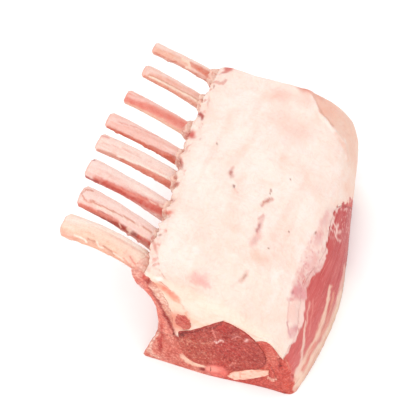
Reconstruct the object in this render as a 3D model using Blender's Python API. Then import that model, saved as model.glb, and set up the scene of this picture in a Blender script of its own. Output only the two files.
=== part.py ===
"""A rack of lamb of eight ribs, trimmed bare at the tips, standing on its sawn backbone side."""

import math

import bmesh
import bpy
import numpy as np

MM = 0.001
GAP = 0.3
FACET_GAP = 0.55
LAYER_GAP = 0.6
LENGTH = 178.0
BASE_CENTRE = (60.0, 89.0)

# Sections across the rack, from the near end at 0 to the far end, in millimetres
STATION = (0.0, 18.0, 40.0, 75.0, 110.0, 145.0, 178.0)
WIDTH = (94.5, 98.2, 101.0, 101.6, 96.0, 88.5, 81.5)
HEIGHT = (83.5, 84.0, 84.0, 84.0, 83.0, 82.0, 80.5)
EDGE_X = (6.0, 0.8, 0.0, -6.0, -10.0, -13.0, -9.0)
SQUARE = (2.25, 2.25, 2.35, 2.6, 3.1, 3.8, 4.6)
END_ROUND = (3.6, 1.1)
END_ROUND_REACH = (2.2, 5.0)
END_ROUND_FROM = 25.0
OUTLINE_STEPS = 400
NEAR_DROP = 9.0
NEAR_DROP_REACH = 15.0
NEAR_DROP_RISE = 26.0
NEAR_DROP_FADE = (62.0, 92.0)
WAVE = 0.8
WAVE_LENGTHS = (11.0, 23.0, 17.0)

# The eight ribs, far to near
RIB_Y = (171.5, 146.5, 121.0, 96.2, 77.2, 52.2, 28.8, 9.8)
ROOT_X = (-21.5, -19.0, -19.4, -15.3, -11.6, -8.0, -6.0, -5.0)
ROOT_Z = (72.4, 72.9, 73.3, 73.7, 74.1, 74.6, 75.0, 76.0)
TIP_X = (-62.5, -60.0, -61.3, -63.6, -61.8, -58.6, -53.4, -55.0)
TIP_Y = (170.4, 146.6, 120.0, 96.2, 77.0, 54.0, 31.4, 9.8)
TIP_Z = (87.0, 89.0, 90.0, 91.5, 91.5, 93.0, 94.0, 90.8)
ROOT_RISE = (28.0, 28.0, 28.0, 29.0, 30.0, 31.0, 33.0, 40.0)
TIP_RISE = (16.0, 16.0, 16.0, 16.0, 15.0, 14.0, 12.0, 3.0)
RIB_WIDTH = (9.4, 9.8, 10.4, 11.2, 12.4, 13.6, 14.0, 15.0)
RIB_THICK = (6.4, 6.6, 6.8, 7.2, 7.8, 8.4, 8.8, 9.4)
RIB_FOOT = (10.2, 26.3)
FOOT_TURN = (0.08, 1.0)
RIB_SIDES = 10
RIB_STEPS = 12
RIB_CORNER = 0.8
TIP_FLARE = 0.06
BARE_THINS = 0.1
TIP_TRIM = 0.94
BED_DEEPER = 3.0

# The layer of meat between the ribs
WALL_IN = 2.5
WALL_IN_NEAR = 2.0
WALL_IN_NEAR_REACH = 24.0
WALL_FILM = 1.6
WALL_THINS = 0.4
WALL_FILLET = 3.2
FILLET_PLACE = 5.0
FILLET_REACH = 13.0
WEB = 6.0
WALL_ROUND = 4.0

# The eye of the loin, an egg-shaped section that runs the whole length
EYE_X = (44.5, 46.0)
EYE_Z = (28.0, 31.0)
EYE_LONG = (30.5, 27.5)
EYE_SHORT = (19.8, 22.0)
EYE_EGG = (0.42, 0.2)
EYE_TILT = (0.49, 0.35)
EYE_FORM_FADE = 70.0
EYE_TURNS = (-180, -132, -105, -72, -45, -31, -3, 17, 40, 60, 79, 95, 111, 125, 140, 180)
EYE_SWELLS = (0.76, 1.0, 1.0, 1.01, 1.07, 1.06, 0.99, 0.97, 0.99, 1.08, 0.92, 0.89, 0.94, 1.14, 0.95, 0.76)

# Two small pieces on the cut face: the pale neck sinew under the eye, the little muscle by the ribs
STRAP_X = (65.6, 61.5)
STRAP_Z = 10.4
STRAP_HALF = (13.8, 4.0)
STRAP_LEAN = 0.54
STRAP_SHRINKS = 0.25
STRAP_BLOCK = 0.8
SMALL_X = (23.2, 19.6)
SMALL_Z = 43.0
SMALL_HALF = (5.0, 7.0)
SMALL_LEAN = 0.12

# The sawn backbone along the left of the base
SEAM_TOP = (18.4, 25.5)
FEATHER_START = 42.0
FEATHER_END = 50.0
FEATHER_TOP = 3.2
SEAM_BEND = 18.0
BONE_PITCH = 24.8
BONE_FIRST = 11.0
BONE_WAIST = 1.3
FOOT_LEAN = 4.0
FOOT_LEAN_TOP = 30.0
FOOT_LEAN_FADE = (34.0, 84.0)
CORNER_OUT = 2.2
CORNER_OUT_REACH = 14.0

# The fat's thin lower layer on the right side, from inside the eye to its ragged edge
FAT_LOW = (36.5, 41.0, 52.5, 52.0, 53.0, 14.0, 3.5)
FAT_EDGE = 1.5
LAYER_START = (12.0, 8.0)
LAYER_LEAN = (16.0, 10.0)
LAYER_PULL = 0.9
BARE_INSET = 0.7
BARE_FROM = 0.014

# Where the fat's wedge between the ribs and the eye ends, and how it meets the rib edge
WEDGE_TOP = 29.0
WEDGE_FOOT = ((9.0, 27.0), (1.0, 26.6))
WEDGE_INSIDE_EYE = ((0.0, 3.0), (-12.0, -1.0))
RIM_SHIFT = (-1.8, 0.6)


def smooth(low, high, value):
    t = np.clip((value - low) / (high - low), 0.0, 1.0)
    return t * t * (3.0 - 2.0 * t)


def along(table, y, stations=STATION):
    """A smooth curve through a row of sizes, read at y."""
    xs = np.asarray(stations, float)
    vs = np.asarray(table, float)
    if xs[0] > xs[-1]:
        xs = xs[::-1]
        vs = vs[::-1]
    y = min(max(y, xs[0]), xs[-1])
    i = int(np.clip(np.searchsorted(xs, y) - 1, 0, len(xs) - 2))
    slope = np.gradient(vs, xs)
    h = xs[i + 1] - xs[i]
    t = (y - xs[i]) / h
    near = (1 + 2 * t) * (1 - t) ** 2 * vs[i] + t * (1 - t) ** 2 * h * slope[i]
    far = t * t * (3 - 2 * t) * vs[i + 1] + t * t * (t - 1) * h * slope[i + 1]
    return near + far


def ends(pair, y):
    return pair[0] + (pair[1] - pair[0]) * y / LENGTH


def resampled(points, count):
    """The polyline with this many points, evenly spaced."""
    points = np.asarray(points, float)
    run = np.concatenate([[0.0], np.cumsum(np.hypot(*np.diff(points, axis=0).T))])
    at = np.linspace(0.0, run[-1], count)
    return np.stack([np.interp(at, run, points[:, 0]), np.interp(at, run, points[:, 1])], 1)


def normals(points):
    """Unit normals to the left of a polyline's direction."""
    d = np.gradient(points, axis=0)
    d /= np.linalg.norm(d, axis=1)[:, None]
    return np.stack([-d[:, 1], d[:, 0]], 1)


def bezier(a, b, c, d, count):
    t = np.linspace(0.0, 1.0, count)[:, None]
    return (1 - t) ** 3 * a + 3 * (1 - t) ** 2 * t * b + 3 * (1 - t) * t * t * c + t ** 3 * d


def end_inset(y, x, x0):
    """How far the skin is drawn in at the rounded rims of the two cut ends."""
    near = END_ROUND[0] * math.exp(-y / END_ROUND_REACH[0])
    far = END_ROUND[1] * math.exp(-(LENGTH - y) / END_ROUND_REACH[1])
    return far + near * smooth(x0, x0 + END_ROUND_FROM, x)


def outer_line(y, count=200):
    """The outside of the fat from the rib edge at the top, over and down to the table."""
    x0 = along(EDGE_X, y)
    w = along(WIDTH, y)
    h = along(HEIGHT, y)
    n = along(SQUARE, y)
    a = np.linspace(0.0, math.pi / 2.0, OUTLINE_STEPS)
    x = x0 + (w - x0) * np.sin(a) ** (2.0 / n)
    z = h * np.cos(a) ** (2.0 / n)
    drop = NEAR_DROP * math.exp(-((y / NEAR_DROP_REACH) ** 1.5))
    z = z - drop * smooth(x0, x0 + NEAR_DROP_RISE, x) * (1.0 - smooth(*NEAR_DROP_FADE, x))
    wave = np.sin(x / WAVE_LENGTHS[0] + y / WAVE_LENGTHS[1]) * np.sin(y / WAVE_LENGTHS[2])
    z = z + WAVE * wave * smooth(x0, x0 + 20.0, x) * smooth(20.0, 60.0, z)
    line = resampled(np.stack([x, np.maximum(z, 0.0)], 1), count)
    inset = end_inset(y, line[:, 0], x0)
    line = line - normals(line) * inset[:, None]
    line[:, 1] = np.maximum(line[:, 1], 0.0)
    line[-1, 1] = 0.0
    return line


def centre_line(y):
    """The rib's middle line at y, from its foot on the backbone to its tip, and the root's place on it."""
    foot = np.array(RIB_FOOT)
    root = np.array([along(ROOT_X, y, RIB_Y), along(ROOT_Z, y, RIB_Y)])
    tip = np.array([along(TIP_X, y, RIB_Y), along(TIP_Z, y, RIB_Y)])
    rise = math.radians(along(ROOT_RISE, y, RIB_Y))
    end = math.radians(along(TIP_RISE, y, RIB_Y))
    turn = np.array([-math.cos(rise), math.sin(rise)])
    last = np.array([-math.cos(end), math.sin(end)])
    low = np.linalg.norm(root - foot)
    high = np.linalg.norm(tip - root)
    up = np.array(FOOT_TURN)
    inside = bezier(foot, foot + up * low * 0.45, root - turn * low * 0.3, root, 120)
    bare = bezier(root, root + turn * high * 0.33, tip - last * high * 0.33, tip, 80)
    return np.concatenate([inside, bare[1:]]), 119


def rib_half(y):
    return 0.5 * along(RIB_THICK, y, RIB_Y)


def eye_swell(y, a):
    """The eye's corners and flats near the cut, as a factor on the plain egg shape."""
    turn = np.degrees((a + math.pi) % (2.0 * math.pi) - math.pi)
    near = 1.0 - float(smooth(0.0, EYE_FORM_FADE, y))
    return 1.0 + near * (np.interp(turn, EYE_TURNS, EYE_SWELLS) - 1.0)


def eye_ring(y, grow=0.0, count=36):
    a = np.linspace(0.0, 2.0 * math.pi, count, endpoint=False)
    swell = eye_swell(y, a)
    u = (ends(EYE_LONG, y) * swell + grow) * np.cos(a)
    v = (ends(EYE_SHORT, y) * (1.0 + ends(EYE_EGG, y) * np.cos(a)) * swell + grow) * np.sin(a)
    t = ends(EYE_TILT, y)
    x = ends(EYE_X, y) + u * math.cos(t) - v * math.sin(t)
    z = ends(EYE_Z, y) + u * math.sin(t) + v * math.cos(t)
    return np.stack([x, z], 1)


def wall_face(y, s, line, run, root):
    """Points on the middle line at the runs s, their normals, and the wall's outer half depth."""
    mid = np.stack([np.interp(s, run, line[:, 0]), np.interp(s, run, line[:, 1])], 1)
    thin = 1.0 - WALL_THINS * smooth(run[root] - 14.0, run[root] + WEB, s)
    return mid, normals(mid), (rib_half(y) + WALL_FILM * thin)[:, None]


def length_along(line):
    return np.concatenate([[0.0], np.cumsum(np.hypot(*np.diff(line, axis=0).T))])


def wall_ring(y):
    """The section of the meat between the ribs: up the inner side, round the edge, down the outer side."""
    line, root = centre_line(y)
    run = length_along(line)
    web = WEB * (1.0 - smooth(2.0, 9.5, min(abs(y - r) for r in RIB_Y))) - 1.0
    stop = run[root] + web
    tip = stop - WALL_ROUND * np.array([0.55, 0.2, 0.03])
    s = np.concatenate([np.linspace(0.0, stop - WALL_ROUND, 9), tip])
    mid, out, depth = wall_face(y, s, line, run, root)
    q = np.clip((s - (stop - WALL_ROUND)) / WALL_ROUND, 0.0, 1.0)
    shape = np.sqrt(1.0 - q ** 2)[:, None]
    near = 1.0 - float(smooth(0.0, WALL_IN_NEAR_REACH, y))
    fillet = np.exp(-(((s - run[root] + FILLET_PLACE) / FILLET_REACH) ** 2))
    inner = (WALL_IN + near * (WALL_IN_NEAR + WALL_FILLET * fillet))[:, None]
    return np.concatenate([mid + out * inner * shape, (mid - out * depth * shape)[::-1]])


def wall_outside(y, count=40):
    """The outer side of that meat, from the backbone to the rib's root, which the fat lies on."""
    line, root = centre_line(y)
    run = length_along(line)
    mid, out, depth = wall_face(y, np.linspace(0.0, run[root] - 1.0, count), line, run, root)
    return mid - out * (depth + FACET_GAP)


def fat_fraction(y):
    """How far along the outside, from the rib edge to the table, the fat reaches."""
    line = outer_line(y)
    low = along(FAT_LOW, y)
    return float(np.interp(-low, -line[60:, 1], np.linspace(0.0, 1.0, 200)[60:]))


def on_outside(y, shares):
    """Points and outward normals on the outside, at shares of the way from rib edge to table."""
    line = outer_line(y)
    all_shares = np.linspace(0.0, 1.0, len(line))
    way = normals(line)
    at = np.stack([np.interp(shares, all_shares, line[:, i]) for i in (0, 1)], 1)
    out = np.stack([np.interp(shares, all_shares, way[:, i]) for i in (0, 1)], 1)
    return at, out / np.linalg.norm(out, axis=1)[:, None]


def fat_layer(y, count, below=0.0):
    """The under side of the fat from inside the eye to the ragged edge."""
    at, out = on_outside(y, np.array([fat_fraction(y)]))
    edge = at[0] - out[0] * FAT_EDGE
    start = eye_middle(y) + LAYER_START
    reach = LAYER_PULL * np.linalg.norm(edge - start)
    up = np.array([-out[0, 1], out[0, 0]])
    line = bezier(start, start + LAYER_LEAN, edge + up * reach, edge, count)
    return line - normals(line) * below


def eye_middle(y):
    return np.array([ends(EYE_X, y), ends(EYE_Z, y)])


def fat_ring(y, skin=19, under=8):
    """The fat's section: over the outside, back under it, down beside the eye, up over the ribs' meat."""
    top, out = on_outside(y, np.linspace(0.0, fat_fraction(y), skin))
    side = wall_outside(y)
    wall = resampled(side[side[:, 1] > WEDGE_TOP], 7)
    foot = np.array(WEDGE_FOOT) + (wall[0, 0], 0.0)
    through = eye_middle(y) + np.array(WEDGE_INSIDE_EYE)
    edge = 0.5 * (wall[-1] + top[0]) + RIM_SHIFT
    return np.concatenate([top, fat_layer(y, under)[::-1], through, foot, wall, edge[None]])


def side_ring(y, skin=8, under=8):
    """The section of the muscle under and right of the eye."""
    layer = fat_layer(y, under, LAYER_GAP * (1.0 + float(smooth(140.0, 168.0, y))))
    bare, out = on_outside(y, np.linspace(min(fat_fraction(y) + BARE_FROM, 1.0 - BARE_FROM), 1.0, skin))
    bare = bare - out * BARE_INSET * smooth(0.0, 1.5, bare[:, 1])[:, None]
    bare[-1, 1] = 0.0
    corner = FEATHER_END + GAP
    base = np.array([[corner + (bare[-1, 0] - corner) * share, 0.0] for share in (0.66, 0.33, 0.0)])
    seam = FEATHER_START + GAP
    rise = np.array([[corner, FEATHER_TOP + GAP], [seam, FEATHER_TOP + GAP], [seam, SEAM_BEND]])
    return np.concatenate([layer, bare, base, rise])


def chine_ring(y):
    """The backbone's section: flat base, spine root on the right, seam top, waisted inner side."""
    waist = BONE_WAIST * math.cos(2.0 * math.pi * (y - BONE_FIRST) / BONE_PITCH)
    mid = eye_middle(y)
    out = CORNER_OUT * (1.0 - float(smooth(0.0, CORNER_OUT_REACH, y)))
    return np.array(
        [
            (-out, 0.0),
            (18.0, 0.0),
            (36.0, 0.0),
            (FEATHER_END, 0.0),
            (FEATHER_END, FEATHER_TOP),
            (FEATHER_START, FEATHER_TOP),
            (FEATHER_START, SEAM_BEND),
            mid + (-14.0, -4.0),
            (SEAM_TOP[0] + 5.0, SEAM_TOP[1]),
            (SEAM_TOP[0] - 4.0, SEAM_TOP[1]),
            (7.0 + 0.4 * waist, SEAM_TOP[1] - 1.2),
            (5.6 + waist, 19.0),
            (3.6 + waist - 0.6 * out, 11.0),
            (1.6 + 0.7 * waist - out, 4.0),
        ]
    )


def lofted(name, rings, stations, shift=None):
    """A closed body through sections that all have the same number of points."""
    count = len(rings[0])
    verts = []
    for ring, y in zip(rings, stations):
        for x, z in ring:
            push = 0.0 if shift is None else shift(x, y, z)
            verts.append(((x - BASE_CENTRE[0]) * MM, (y + push - BASE_CENTRE[1]) * MM, z * MM))
    faces = []
    for i in range(len(rings) - 1):
        for k in range(count):
            m = (k + 1) % count
            faces.append((i * count + k, i * count + m, (i + 1) * count + m, (i + 1) * count + k))
    faces.append(tuple(range(count))[::-1])
    faces.append(tuple((len(rings) - 1) * count + k for k in range(count)))
    mesh = bpy.data.meshes.new(name)
    mesh.from_pydata(verts, [], faces)
    obj = bpy.data.objects.new(name, mesh)
    bpy.context.scene.collection.objects.link(obj)
    shape = bmesh.new()
    shape.from_mesh(mesh)
    bmesh.ops.triangulate(shape, faces=[f for f in shape.faces if len(f.verts) > 4])
    bmesh.ops.recalc_face_normals(shape, faces=shape.faces)
    if shape.calc_volume(signed=True) < 0.0:
        bmesh.ops.reverse_faces(shape, faces=shape.faces)
    shape.to_mesh(mesh)
    shape.free()
    for face in mesh.polygons:
        face.use_smooth = abs(face.normal.y) < 0.8
    return obj


def foot_push(x, y, z):
    """The lower edge of the near cut leans a little toward the viewer."""
    if y > 0.5:
        return 0.0
    across = 1.0 - float(smooth(*FOOT_LEAN_FADE, x))
    return -FOOT_LEAN * (1.0 - float(smooth(2.0, FOOT_LEAN_TOP, z))) * across


def material(name, colour, roughness):
    made = bpy.data.materials.new(name)
    made.use_nodes = True
    shader = made.node_tree.nodes["Principled BSDF"]
    shader.inputs["Base Color"].default_value = (*colour, 1.0)
    shader.inputs["Roughness"].default_value = roughness
    shader.inputs["Metallic"].default_value = 0.0
    return made


def dress(obj, made):
    obj.data.materials.append(made)


def cut(obj, tool):
    """Takes the tool's shape out of the body; the tool stays hidden."""
    tool.hide_render = True
    tool.display_type = "WIRE"
    mod = obj.modifiers.new("cut_" + tool.name, "BOOLEAN")
    mod.operation = "DIFFERENCE"
    mod.solver = "EXACT"
    mod.object = tool


def rib_body(name, k, grow=0.0, foot_more=0.0):
    """A curved bone with a rounded flat section and a sawn tip."""
    line, root = centre_line(RIB_Y[k])
    run = length_along(line)
    s = np.linspace(0.0, run[-1], RIB_STEPS)
    mid = np.stack([np.interp(s, run, line[:, 0]), np.interp(s, run, line[:, 1])], 1)
    out = normals(mid)
    if foot_more:
        mid[0] -= (0.0, foot_more)
    bare = smooth(run[root] - 5.0, run[-1], s)
    lean = (TIP_Y[k] - RIB_Y[k]) * bare
    width = 0.5 * RIB_WIDTH[k] * (1.0 + TIP_FLARE * smooth(0.7, 1.0, s / run[-1])) + grow
    thick = 0.5 * RIB_THICK[k] * (1.0 - BARE_THINS * np.sin(math.pi * bare)) + grow
    thick[-1] *= TIP_TRIM
    width[-1] *= TIP_TRIM
    a = np.linspace(0.0, 2.0 * math.pi, RIB_SIDES, endpoint=False) + math.pi / RIB_SIDES
    across = np.sign(np.cos(a)) * np.abs(np.cos(a)) ** RIB_CORNER
    deep = np.sign(np.sin(a)) * np.abs(np.sin(a)) ** RIB_CORNER
    verts = []
    for i in range(RIB_STEPS):
        for p, q in zip(across, deep):
            x, z = mid[i] - out[i] * q * thick[i]
            y = RIB_Y[k] + lean[i] + p * width[i]
            verts.append(((x - BASE_CENTRE[0]) * MM, (y - BASE_CENTRE[1]) * MM, z * MM))
    n = RIB_SIDES
    faces = [
        (i * n + j, i * n + (j + 1) % n, (i + 1) * n + (j + 1) % n, (i + 1) * n + j)
        for i in range(RIB_STEPS - 1)
        for j in range(n)
    ]
    faces.append(tuple(range(n))[::-1])
    faces.append(tuple((RIB_STEPS - 1) * n + j for j in range(n)))
    mesh = bpy.data.meshes.new(name)
    mesh.from_pydata(verts, [], faces)
    shape = bmesh.new()
    shape.from_mesh(mesh)
    bmesh.ops.recalc_face_normals(shape, faces=shape.faces)
    if shape.calc_volume(signed=True) < 0.0:
        bmesh.ops.reverse_faces(shape, faces=shape.faces)
    shape.to_mesh(mesh)
    shape.free()
    for face in mesh.polygons:
        face.use_smooth = len(face.vertices) == 4
    obj = bpy.data.objects.new(name, mesh)
    bpy.context.scene.collection.objects.link(obj)
    return obj


def oval(centre, half, lean, count=12, grow=0.0, block=1.0):
    """An oval section; a block below 1 gives it blunter ends."""
    a = np.linspace(0.0, 2.0 * math.pi, count, endpoint=False)
    u = (half[0] + grow) * np.sign(np.cos(a)) * np.abs(np.cos(a)) ** block
    v = (half[1] + grow) * np.sign(np.sin(a)) * np.abs(np.sin(a)) ** block
    x = centre[0] + u * math.cos(lean) - v * math.sin(lean)
    z = centre[1] + u * math.sin(lean) + v * math.cos(lean)
    return np.stack([x, z], 1)


def strap_ring(y, grow=0.0):
    size = 1.0 - STRAP_SHRINKS * y / LENGTH
    half = (STRAP_HALF[0] * size, STRAP_HALF[1] * size)
    return oval((ends(STRAP_X, y), STRAP_Z), half, STRAP_LEAN, count=16, grow=grow, block=STRAP_BLOCK)


def small_ring(y, grow=0.0):
    return oval((ends(SMALL_X, y), SMALL_Z), SMALL_HALF, SMALL_LEAN, count=10, grow=grow)


for old in list(bpy.data.objects):
    bpy.data.objects.remove(old, do_unlink=True)

fat = material("lamb_fat", (0.90, 0.74, 0.66), 0.5)
lean_meat = material("lamb_meat", (0.62, 0.16, 0.14), 0.45)
eye_meat = material("eye_meat", (0.42, 0.11, 0.09), 0.45)
bone = material("rib_bone", (0.83, 0.56, 0.49), 0.5)
sawn_bone = material("sawn_bone", (0.70, 0.28, 0.23), 0.6)
sinew = material("pale_sinew", (0.88, 0.70, 0.60), 0.45)

near_rim = [0.0, 2.5, 6.0, 11.0]
far_rim = [170.0, 175.5, LENGTH]
body_stations = np.concatenate([near_rim, np.arange(20.0, 169.0, 10.5), far_rim])
wall_stations = np.unique(
    np.concatenate([[0.0, LENGTH], np.array(RIB_Y), np.array(RIB_Y) - 4.5, np.array(RIB_Y) + 4.5])
)
wall_stations = np.array([y for y in wall_stations if 0.0 <= y <= LENGTH])
middles = 0.5 * (np.array(RIB_Y)[:-1] + np.array(RIB_Y)[1:])
wall_stations = np.unique(np.concatenate([wall_stations, middles]))
eye_stations = np.linspace(0.0, LENGTH, 9)
out_stations = np.concatenate([[-4.0], eye_stations[1:-1], [LENGTH + 4.0]])

rib_meat = lofted("rib_meat", [wall_ring(y) for y in wall_stations], wall_stations, foot_push)
dress(rib_meat, lean_meat)
for k in range(len(RIB_Y)):
    number = str(k + 1)
    dress(rib_body("rib_" + number, k), bone)
    cut(rib_meat, rib_body("bed_" + number, k, GAP, BED_DEEPER))

fat_cap = lofted("fat_cap", [fat_ring(y) for y in body_stations], body_stations)
dress(fat_cap, fat)
side_meat = lofted("side_meat", [side_ring(y) for y in body_stations], body_stations, foot_push)
dress(side_meat, lean_meat)
chine_stations = np.arange(0.0, LENGTH + 0.1, LENGTH / 22.0)
chine_bone = lofted("chine_bone", [chine_ring(y) for y in chine_stations], chine_stations, foot_push)
dress(chine_bone, sawn_bone)

loin_eye = lofted("loin_eye", [eye_ring(y) for y in eye_stations], eye_stations)
dress(loin_eye, eye_meat)
eye_bed = lofted("eye_bed", [eye_ring(y, GAP) for y in eye_stations], out_stations)
backstrap = lofted("backstrap", [strap_ring(y) for y in eye_stations], eye_stations)
for body in (fat_cap, side_meat, chine_bone, backstrap):
    cut(body, eye_bed)
dress(backstrap, sinew)
cut(side_meat, lofted("strap_bed", [strap_ring(y, GAP) for y in eye_stations], out_stations))
small_muscle = lofted("small_muscle", [small_ring(y) for y in eye_stations], eye_stations)
dress(small_muscle, eye_meat)
cut(fat_cap, lofted("small_bed", [small_ring(y, GAP) for y in eye_stations], out_stations))
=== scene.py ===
"""Looks of a raw rack of lamb: fat cap, muscles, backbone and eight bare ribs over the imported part."""

import math

import bpy
import numpy as np
from mathutils import Matrix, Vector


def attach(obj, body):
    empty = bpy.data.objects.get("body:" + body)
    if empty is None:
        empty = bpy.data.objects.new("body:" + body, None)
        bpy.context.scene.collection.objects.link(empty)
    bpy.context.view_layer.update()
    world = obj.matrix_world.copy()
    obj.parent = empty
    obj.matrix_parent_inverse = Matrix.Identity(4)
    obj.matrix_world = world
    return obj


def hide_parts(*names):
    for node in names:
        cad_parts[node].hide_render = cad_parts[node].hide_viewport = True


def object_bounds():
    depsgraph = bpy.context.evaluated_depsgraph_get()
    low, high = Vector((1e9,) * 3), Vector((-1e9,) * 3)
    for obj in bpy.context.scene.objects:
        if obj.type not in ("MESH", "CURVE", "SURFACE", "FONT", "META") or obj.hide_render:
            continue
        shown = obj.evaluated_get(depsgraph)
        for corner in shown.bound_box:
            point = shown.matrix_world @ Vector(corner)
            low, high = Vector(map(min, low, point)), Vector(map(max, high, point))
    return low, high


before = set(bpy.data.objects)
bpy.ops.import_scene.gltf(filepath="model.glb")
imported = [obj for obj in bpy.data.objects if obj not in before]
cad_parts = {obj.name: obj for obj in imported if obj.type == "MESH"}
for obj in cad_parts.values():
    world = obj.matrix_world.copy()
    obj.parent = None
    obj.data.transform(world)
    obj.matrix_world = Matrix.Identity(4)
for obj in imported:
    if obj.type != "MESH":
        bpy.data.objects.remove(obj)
cad_low, cad_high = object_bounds()

# Sizes shared with the solids, in millimetres
LENGTH = 178.0
BASE_CENTRE = (60.0, 89.0)
STATION = (0.0, 18.0, 40.0, 75.0, 110.0, 145.0, 178.0)
WIDTH = (94.5, 98.2, 101.0, 101.6, 96.0, 88.5, 81.5)
HEIGHT = (83.5, 84.0, 84.0, 84.0, 83.0, 82.0, 80.5)
EDGE_X = (6.0, 0.8, 0.0, -6.0, -10.0, -13.0, -9.0)
SQUARE = (2.25, 2.25, 2.35, 2.6, 3.1, 3.8, 4.6)
OUTLINE_STEPS = 400
NEAR_DROP = 9.0
NEAR_DROP_REACH = 15.0
NEAR_DROP_RISE = 26.0
NEAR_DROP_FADE = (62.0, 92.0)
WAVE = 0.8
WAVE_LENGTHS = (11.0, 23.0, 17.0)
RIB_Y = (171.5, 146.5, 121.0, 96.2, 77.2, 52.2, 28.8, 9.8)
ROOT_X = (-21.5, -19.0, -19.4, -15.3, -11.6, -8.0, -6.0, -5.0)
ROOT_Z = (72.4, 72.9, 73.3, 73.7, 74.1, 74.6, 75.0, 76.0)
TIP_X = (-62.5, -60.0, -61.3, -63.6, -61.8, -58.6, -53.4, -55.0)
TIP_Y = (170.4, 146.6, 120.0, 96.2, 77.0, 54.0, 31.4, 9.8)
TIP_Z = (87.0, 89.0, 90.0, 91.5, 91.5, 93.0, 94.0, 90.8)
ROOT_RISE = (28.0, 28.0, 28.0, 29.0, 30.0, 31.0, 33.0, 40.0)
TIP_RISE = (16.0, 16.0, 16.0, 16.0, 15.0, 14.0, 12.0, 3.0)
RIB_WIDTH = (9.4, 9.8, 10.4, 11.2, 12.4, 13.6, 14.0, 15.0)
RIB_THICK = (6.4, 6.6, 6.8, 7.2, 7.8, 8.4, 8.8, 9.4)
RIB_FOOT = (10.2, 26.3)
FOOT_TURN = (0.08, 1.0)
WALL_IN = 2.5
WALL_IN_NEAR = 2.0
WALL_IN_NEAR_REACH = 24.0
WALL_FILM = 1.6
WALL_THINS = 0.4
WALL_FILLET = 3.2
FILLET_PLACE = 5.0
FILLET_REACH = 13.0
WEB = 6.0
WALL_ROUND = 4.0
EYE_X = (44.5, 46.0)
EYE_Z = (28.0, 31.0)
EYE_LONG = (30.5, 27.5)
EYE_SHORT = (19.8, 22.0)
EYE_EGG = (0.42, 0.2)
EYE_TILT = (0.49, 0.35)
EYE_FORM_FADE = 70.0
EYE_TURNS = (-180, -132, -105, -72, -45, -31, -3, 17, 40, 60, 79, 95, 111, 125, 140, 180)
EYE_SWELLS = (0.76, 1.0, 1.0, 1.01, 1.07, 1.06, 0.99, 0.97, 0.99, 1.08, 0.92, 0.89, 0.94, 1.14, 0.95, 0.76)
STRAP_X = (65.6, 61.5)
STRAP_Z = 10.4
STRAP_HALF = (13.8, 4.0)
STRAP_LEAN = 0.54
STRAP_BLOCK = 0.8
SMALL_X = (23.2, 19.6)
SMALL_Z = 43.0
SMALL_HALF = (5.0, 7.0)
SMALL_LEAN = 0.12
SEAM_TOP = (18.4, 25.5)
FEATHER_START = 42.0
FEATHER_END = 50.0
FEATHER_TOP = 3.2
BONE_PITCH = 24.8
BONE_FIRST = 11.0
BONE_WAIST = 1.3
FOOT_LEAN = 4.0
FOOT_LEAN_TOP = 30.0
FOOT_LEAN_FADE = (34.0, 84.0)
CORNER_OUT = 2.2
CORNER_OUT_REACH = 14.0
FAT_LOW = (36.5, 41.0, 52.5, 52.0, 53.0, 14.0, 3.5)
FAT_EDGE = 1.5
LAYER_START = (12.0, 8.0)
LAYER_LEAN = (16.0, 10.0)
LAYER_PULL = 0.9
BARE_INSET = 0.7

# How deep the cut ends sink beside the eye, and how far behind the near cut its paint reaches
END_SINK = 0.45
FACE_DEEP = 5.0

# Radii of the rounded corners at the near and the far cut, which fade out toward the rib edge
FAT_ROUND = (6.0, 4.0)
SIDE_ROUND = (5.0, 1.6)
LAYER_ROUND = (1.0, 1.0)
WALL_END_ROUND = (2.4, 1.2)
EDGE_SETTLE = 25.0
EDGE_KEEPS = 0.3

# Fineness of the meshes: stations along the rack, columns across, steps through the depth
FAT_MESH = (220, 176, 26)
SIDE_MESH = (180, 156, 24)
BONE_MESH = (190, 110, 26)
WALL_MESH = (250, 112, 8)
RIB_MESH = (180, 56)
RIB_CAPS = (0.86, 0.74, 0.6, 0.46, 0.3, 0.15)
CAP_RINGS = 33

# Share of the wanted tone that the surface itself reflects; the bright light gives the rest
ALBEDO = 0.76

# The camera of the photo: turn and height in degrees, focal length in pixels, place in metres
TURN = math.radians(20.5)
RISE = math.radians(50.0)
FOCAL = 1368.0
PHOTO = (401.0, 403.0)
SENSOR = 36.0
EYE_POINT = (0.1376, -0.5255, 0.715)
RIGHT = np.array([math.cos(TURN), math.sin(TURN), 0.0])
UP = np.array([-math.sin(TURN) * math.sin(RISE), math.cos(TURN) * math.sin(RISE), math.cos(RISE)])
BACK = np.array([math.sin(TURN) * math.cos(RISE), -math.cos(TURN) * math.cos(RISE), math.sin(RISE)])


def smooth(low, high, value):
    """0 below low, 1 above high and a soft step between."""
    t = np.clip((value - low) / (high - low), 0.0, 1.0)
    return t * t * (3.0 - 2.0 * t)


def along(table, y, stations=STATION):
    """A value of the table at y, on a smooth curve through its stations."""
    xs = np.asarray(stations, float)
    vs = np.asarray(table, float)
    if xs[0] > xs[-1]:
        xs = xs[::-1]
        vs = vs[::-1]
    y = min(max(y, xs[0]), xs[-1])
    i = int(np.clip(np.searchsorted(xs, y) - 1, 0, len(xs) - 2))
    slope = np.gradient(vs, xs)
    h = xs[i + 1] - xs[i]
    t = (y - xs[i]) / h
    near = (1 + 2 * t) * (1 - t) ** 2 * vs[i] + t * (1 - t) ** 2 * h * slope[i]
    far = t * t * (3 - 2 * t) * vs[i + 1] + t * t * (t - 1) * h * slope[i + 1]
    return near + far


def ends(pair, y):
    """A value that changes evenly from the near end to the far end."""
    return pair[0] + (pair[1] - pair[0]) * y / LENGTH


def run_of(line):
    """Length along a line up to each of its points."""
    return np.concatenate([[0.0], np.cumsum(np.hypot(*np.diff(line, axis=0).T))])


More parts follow.
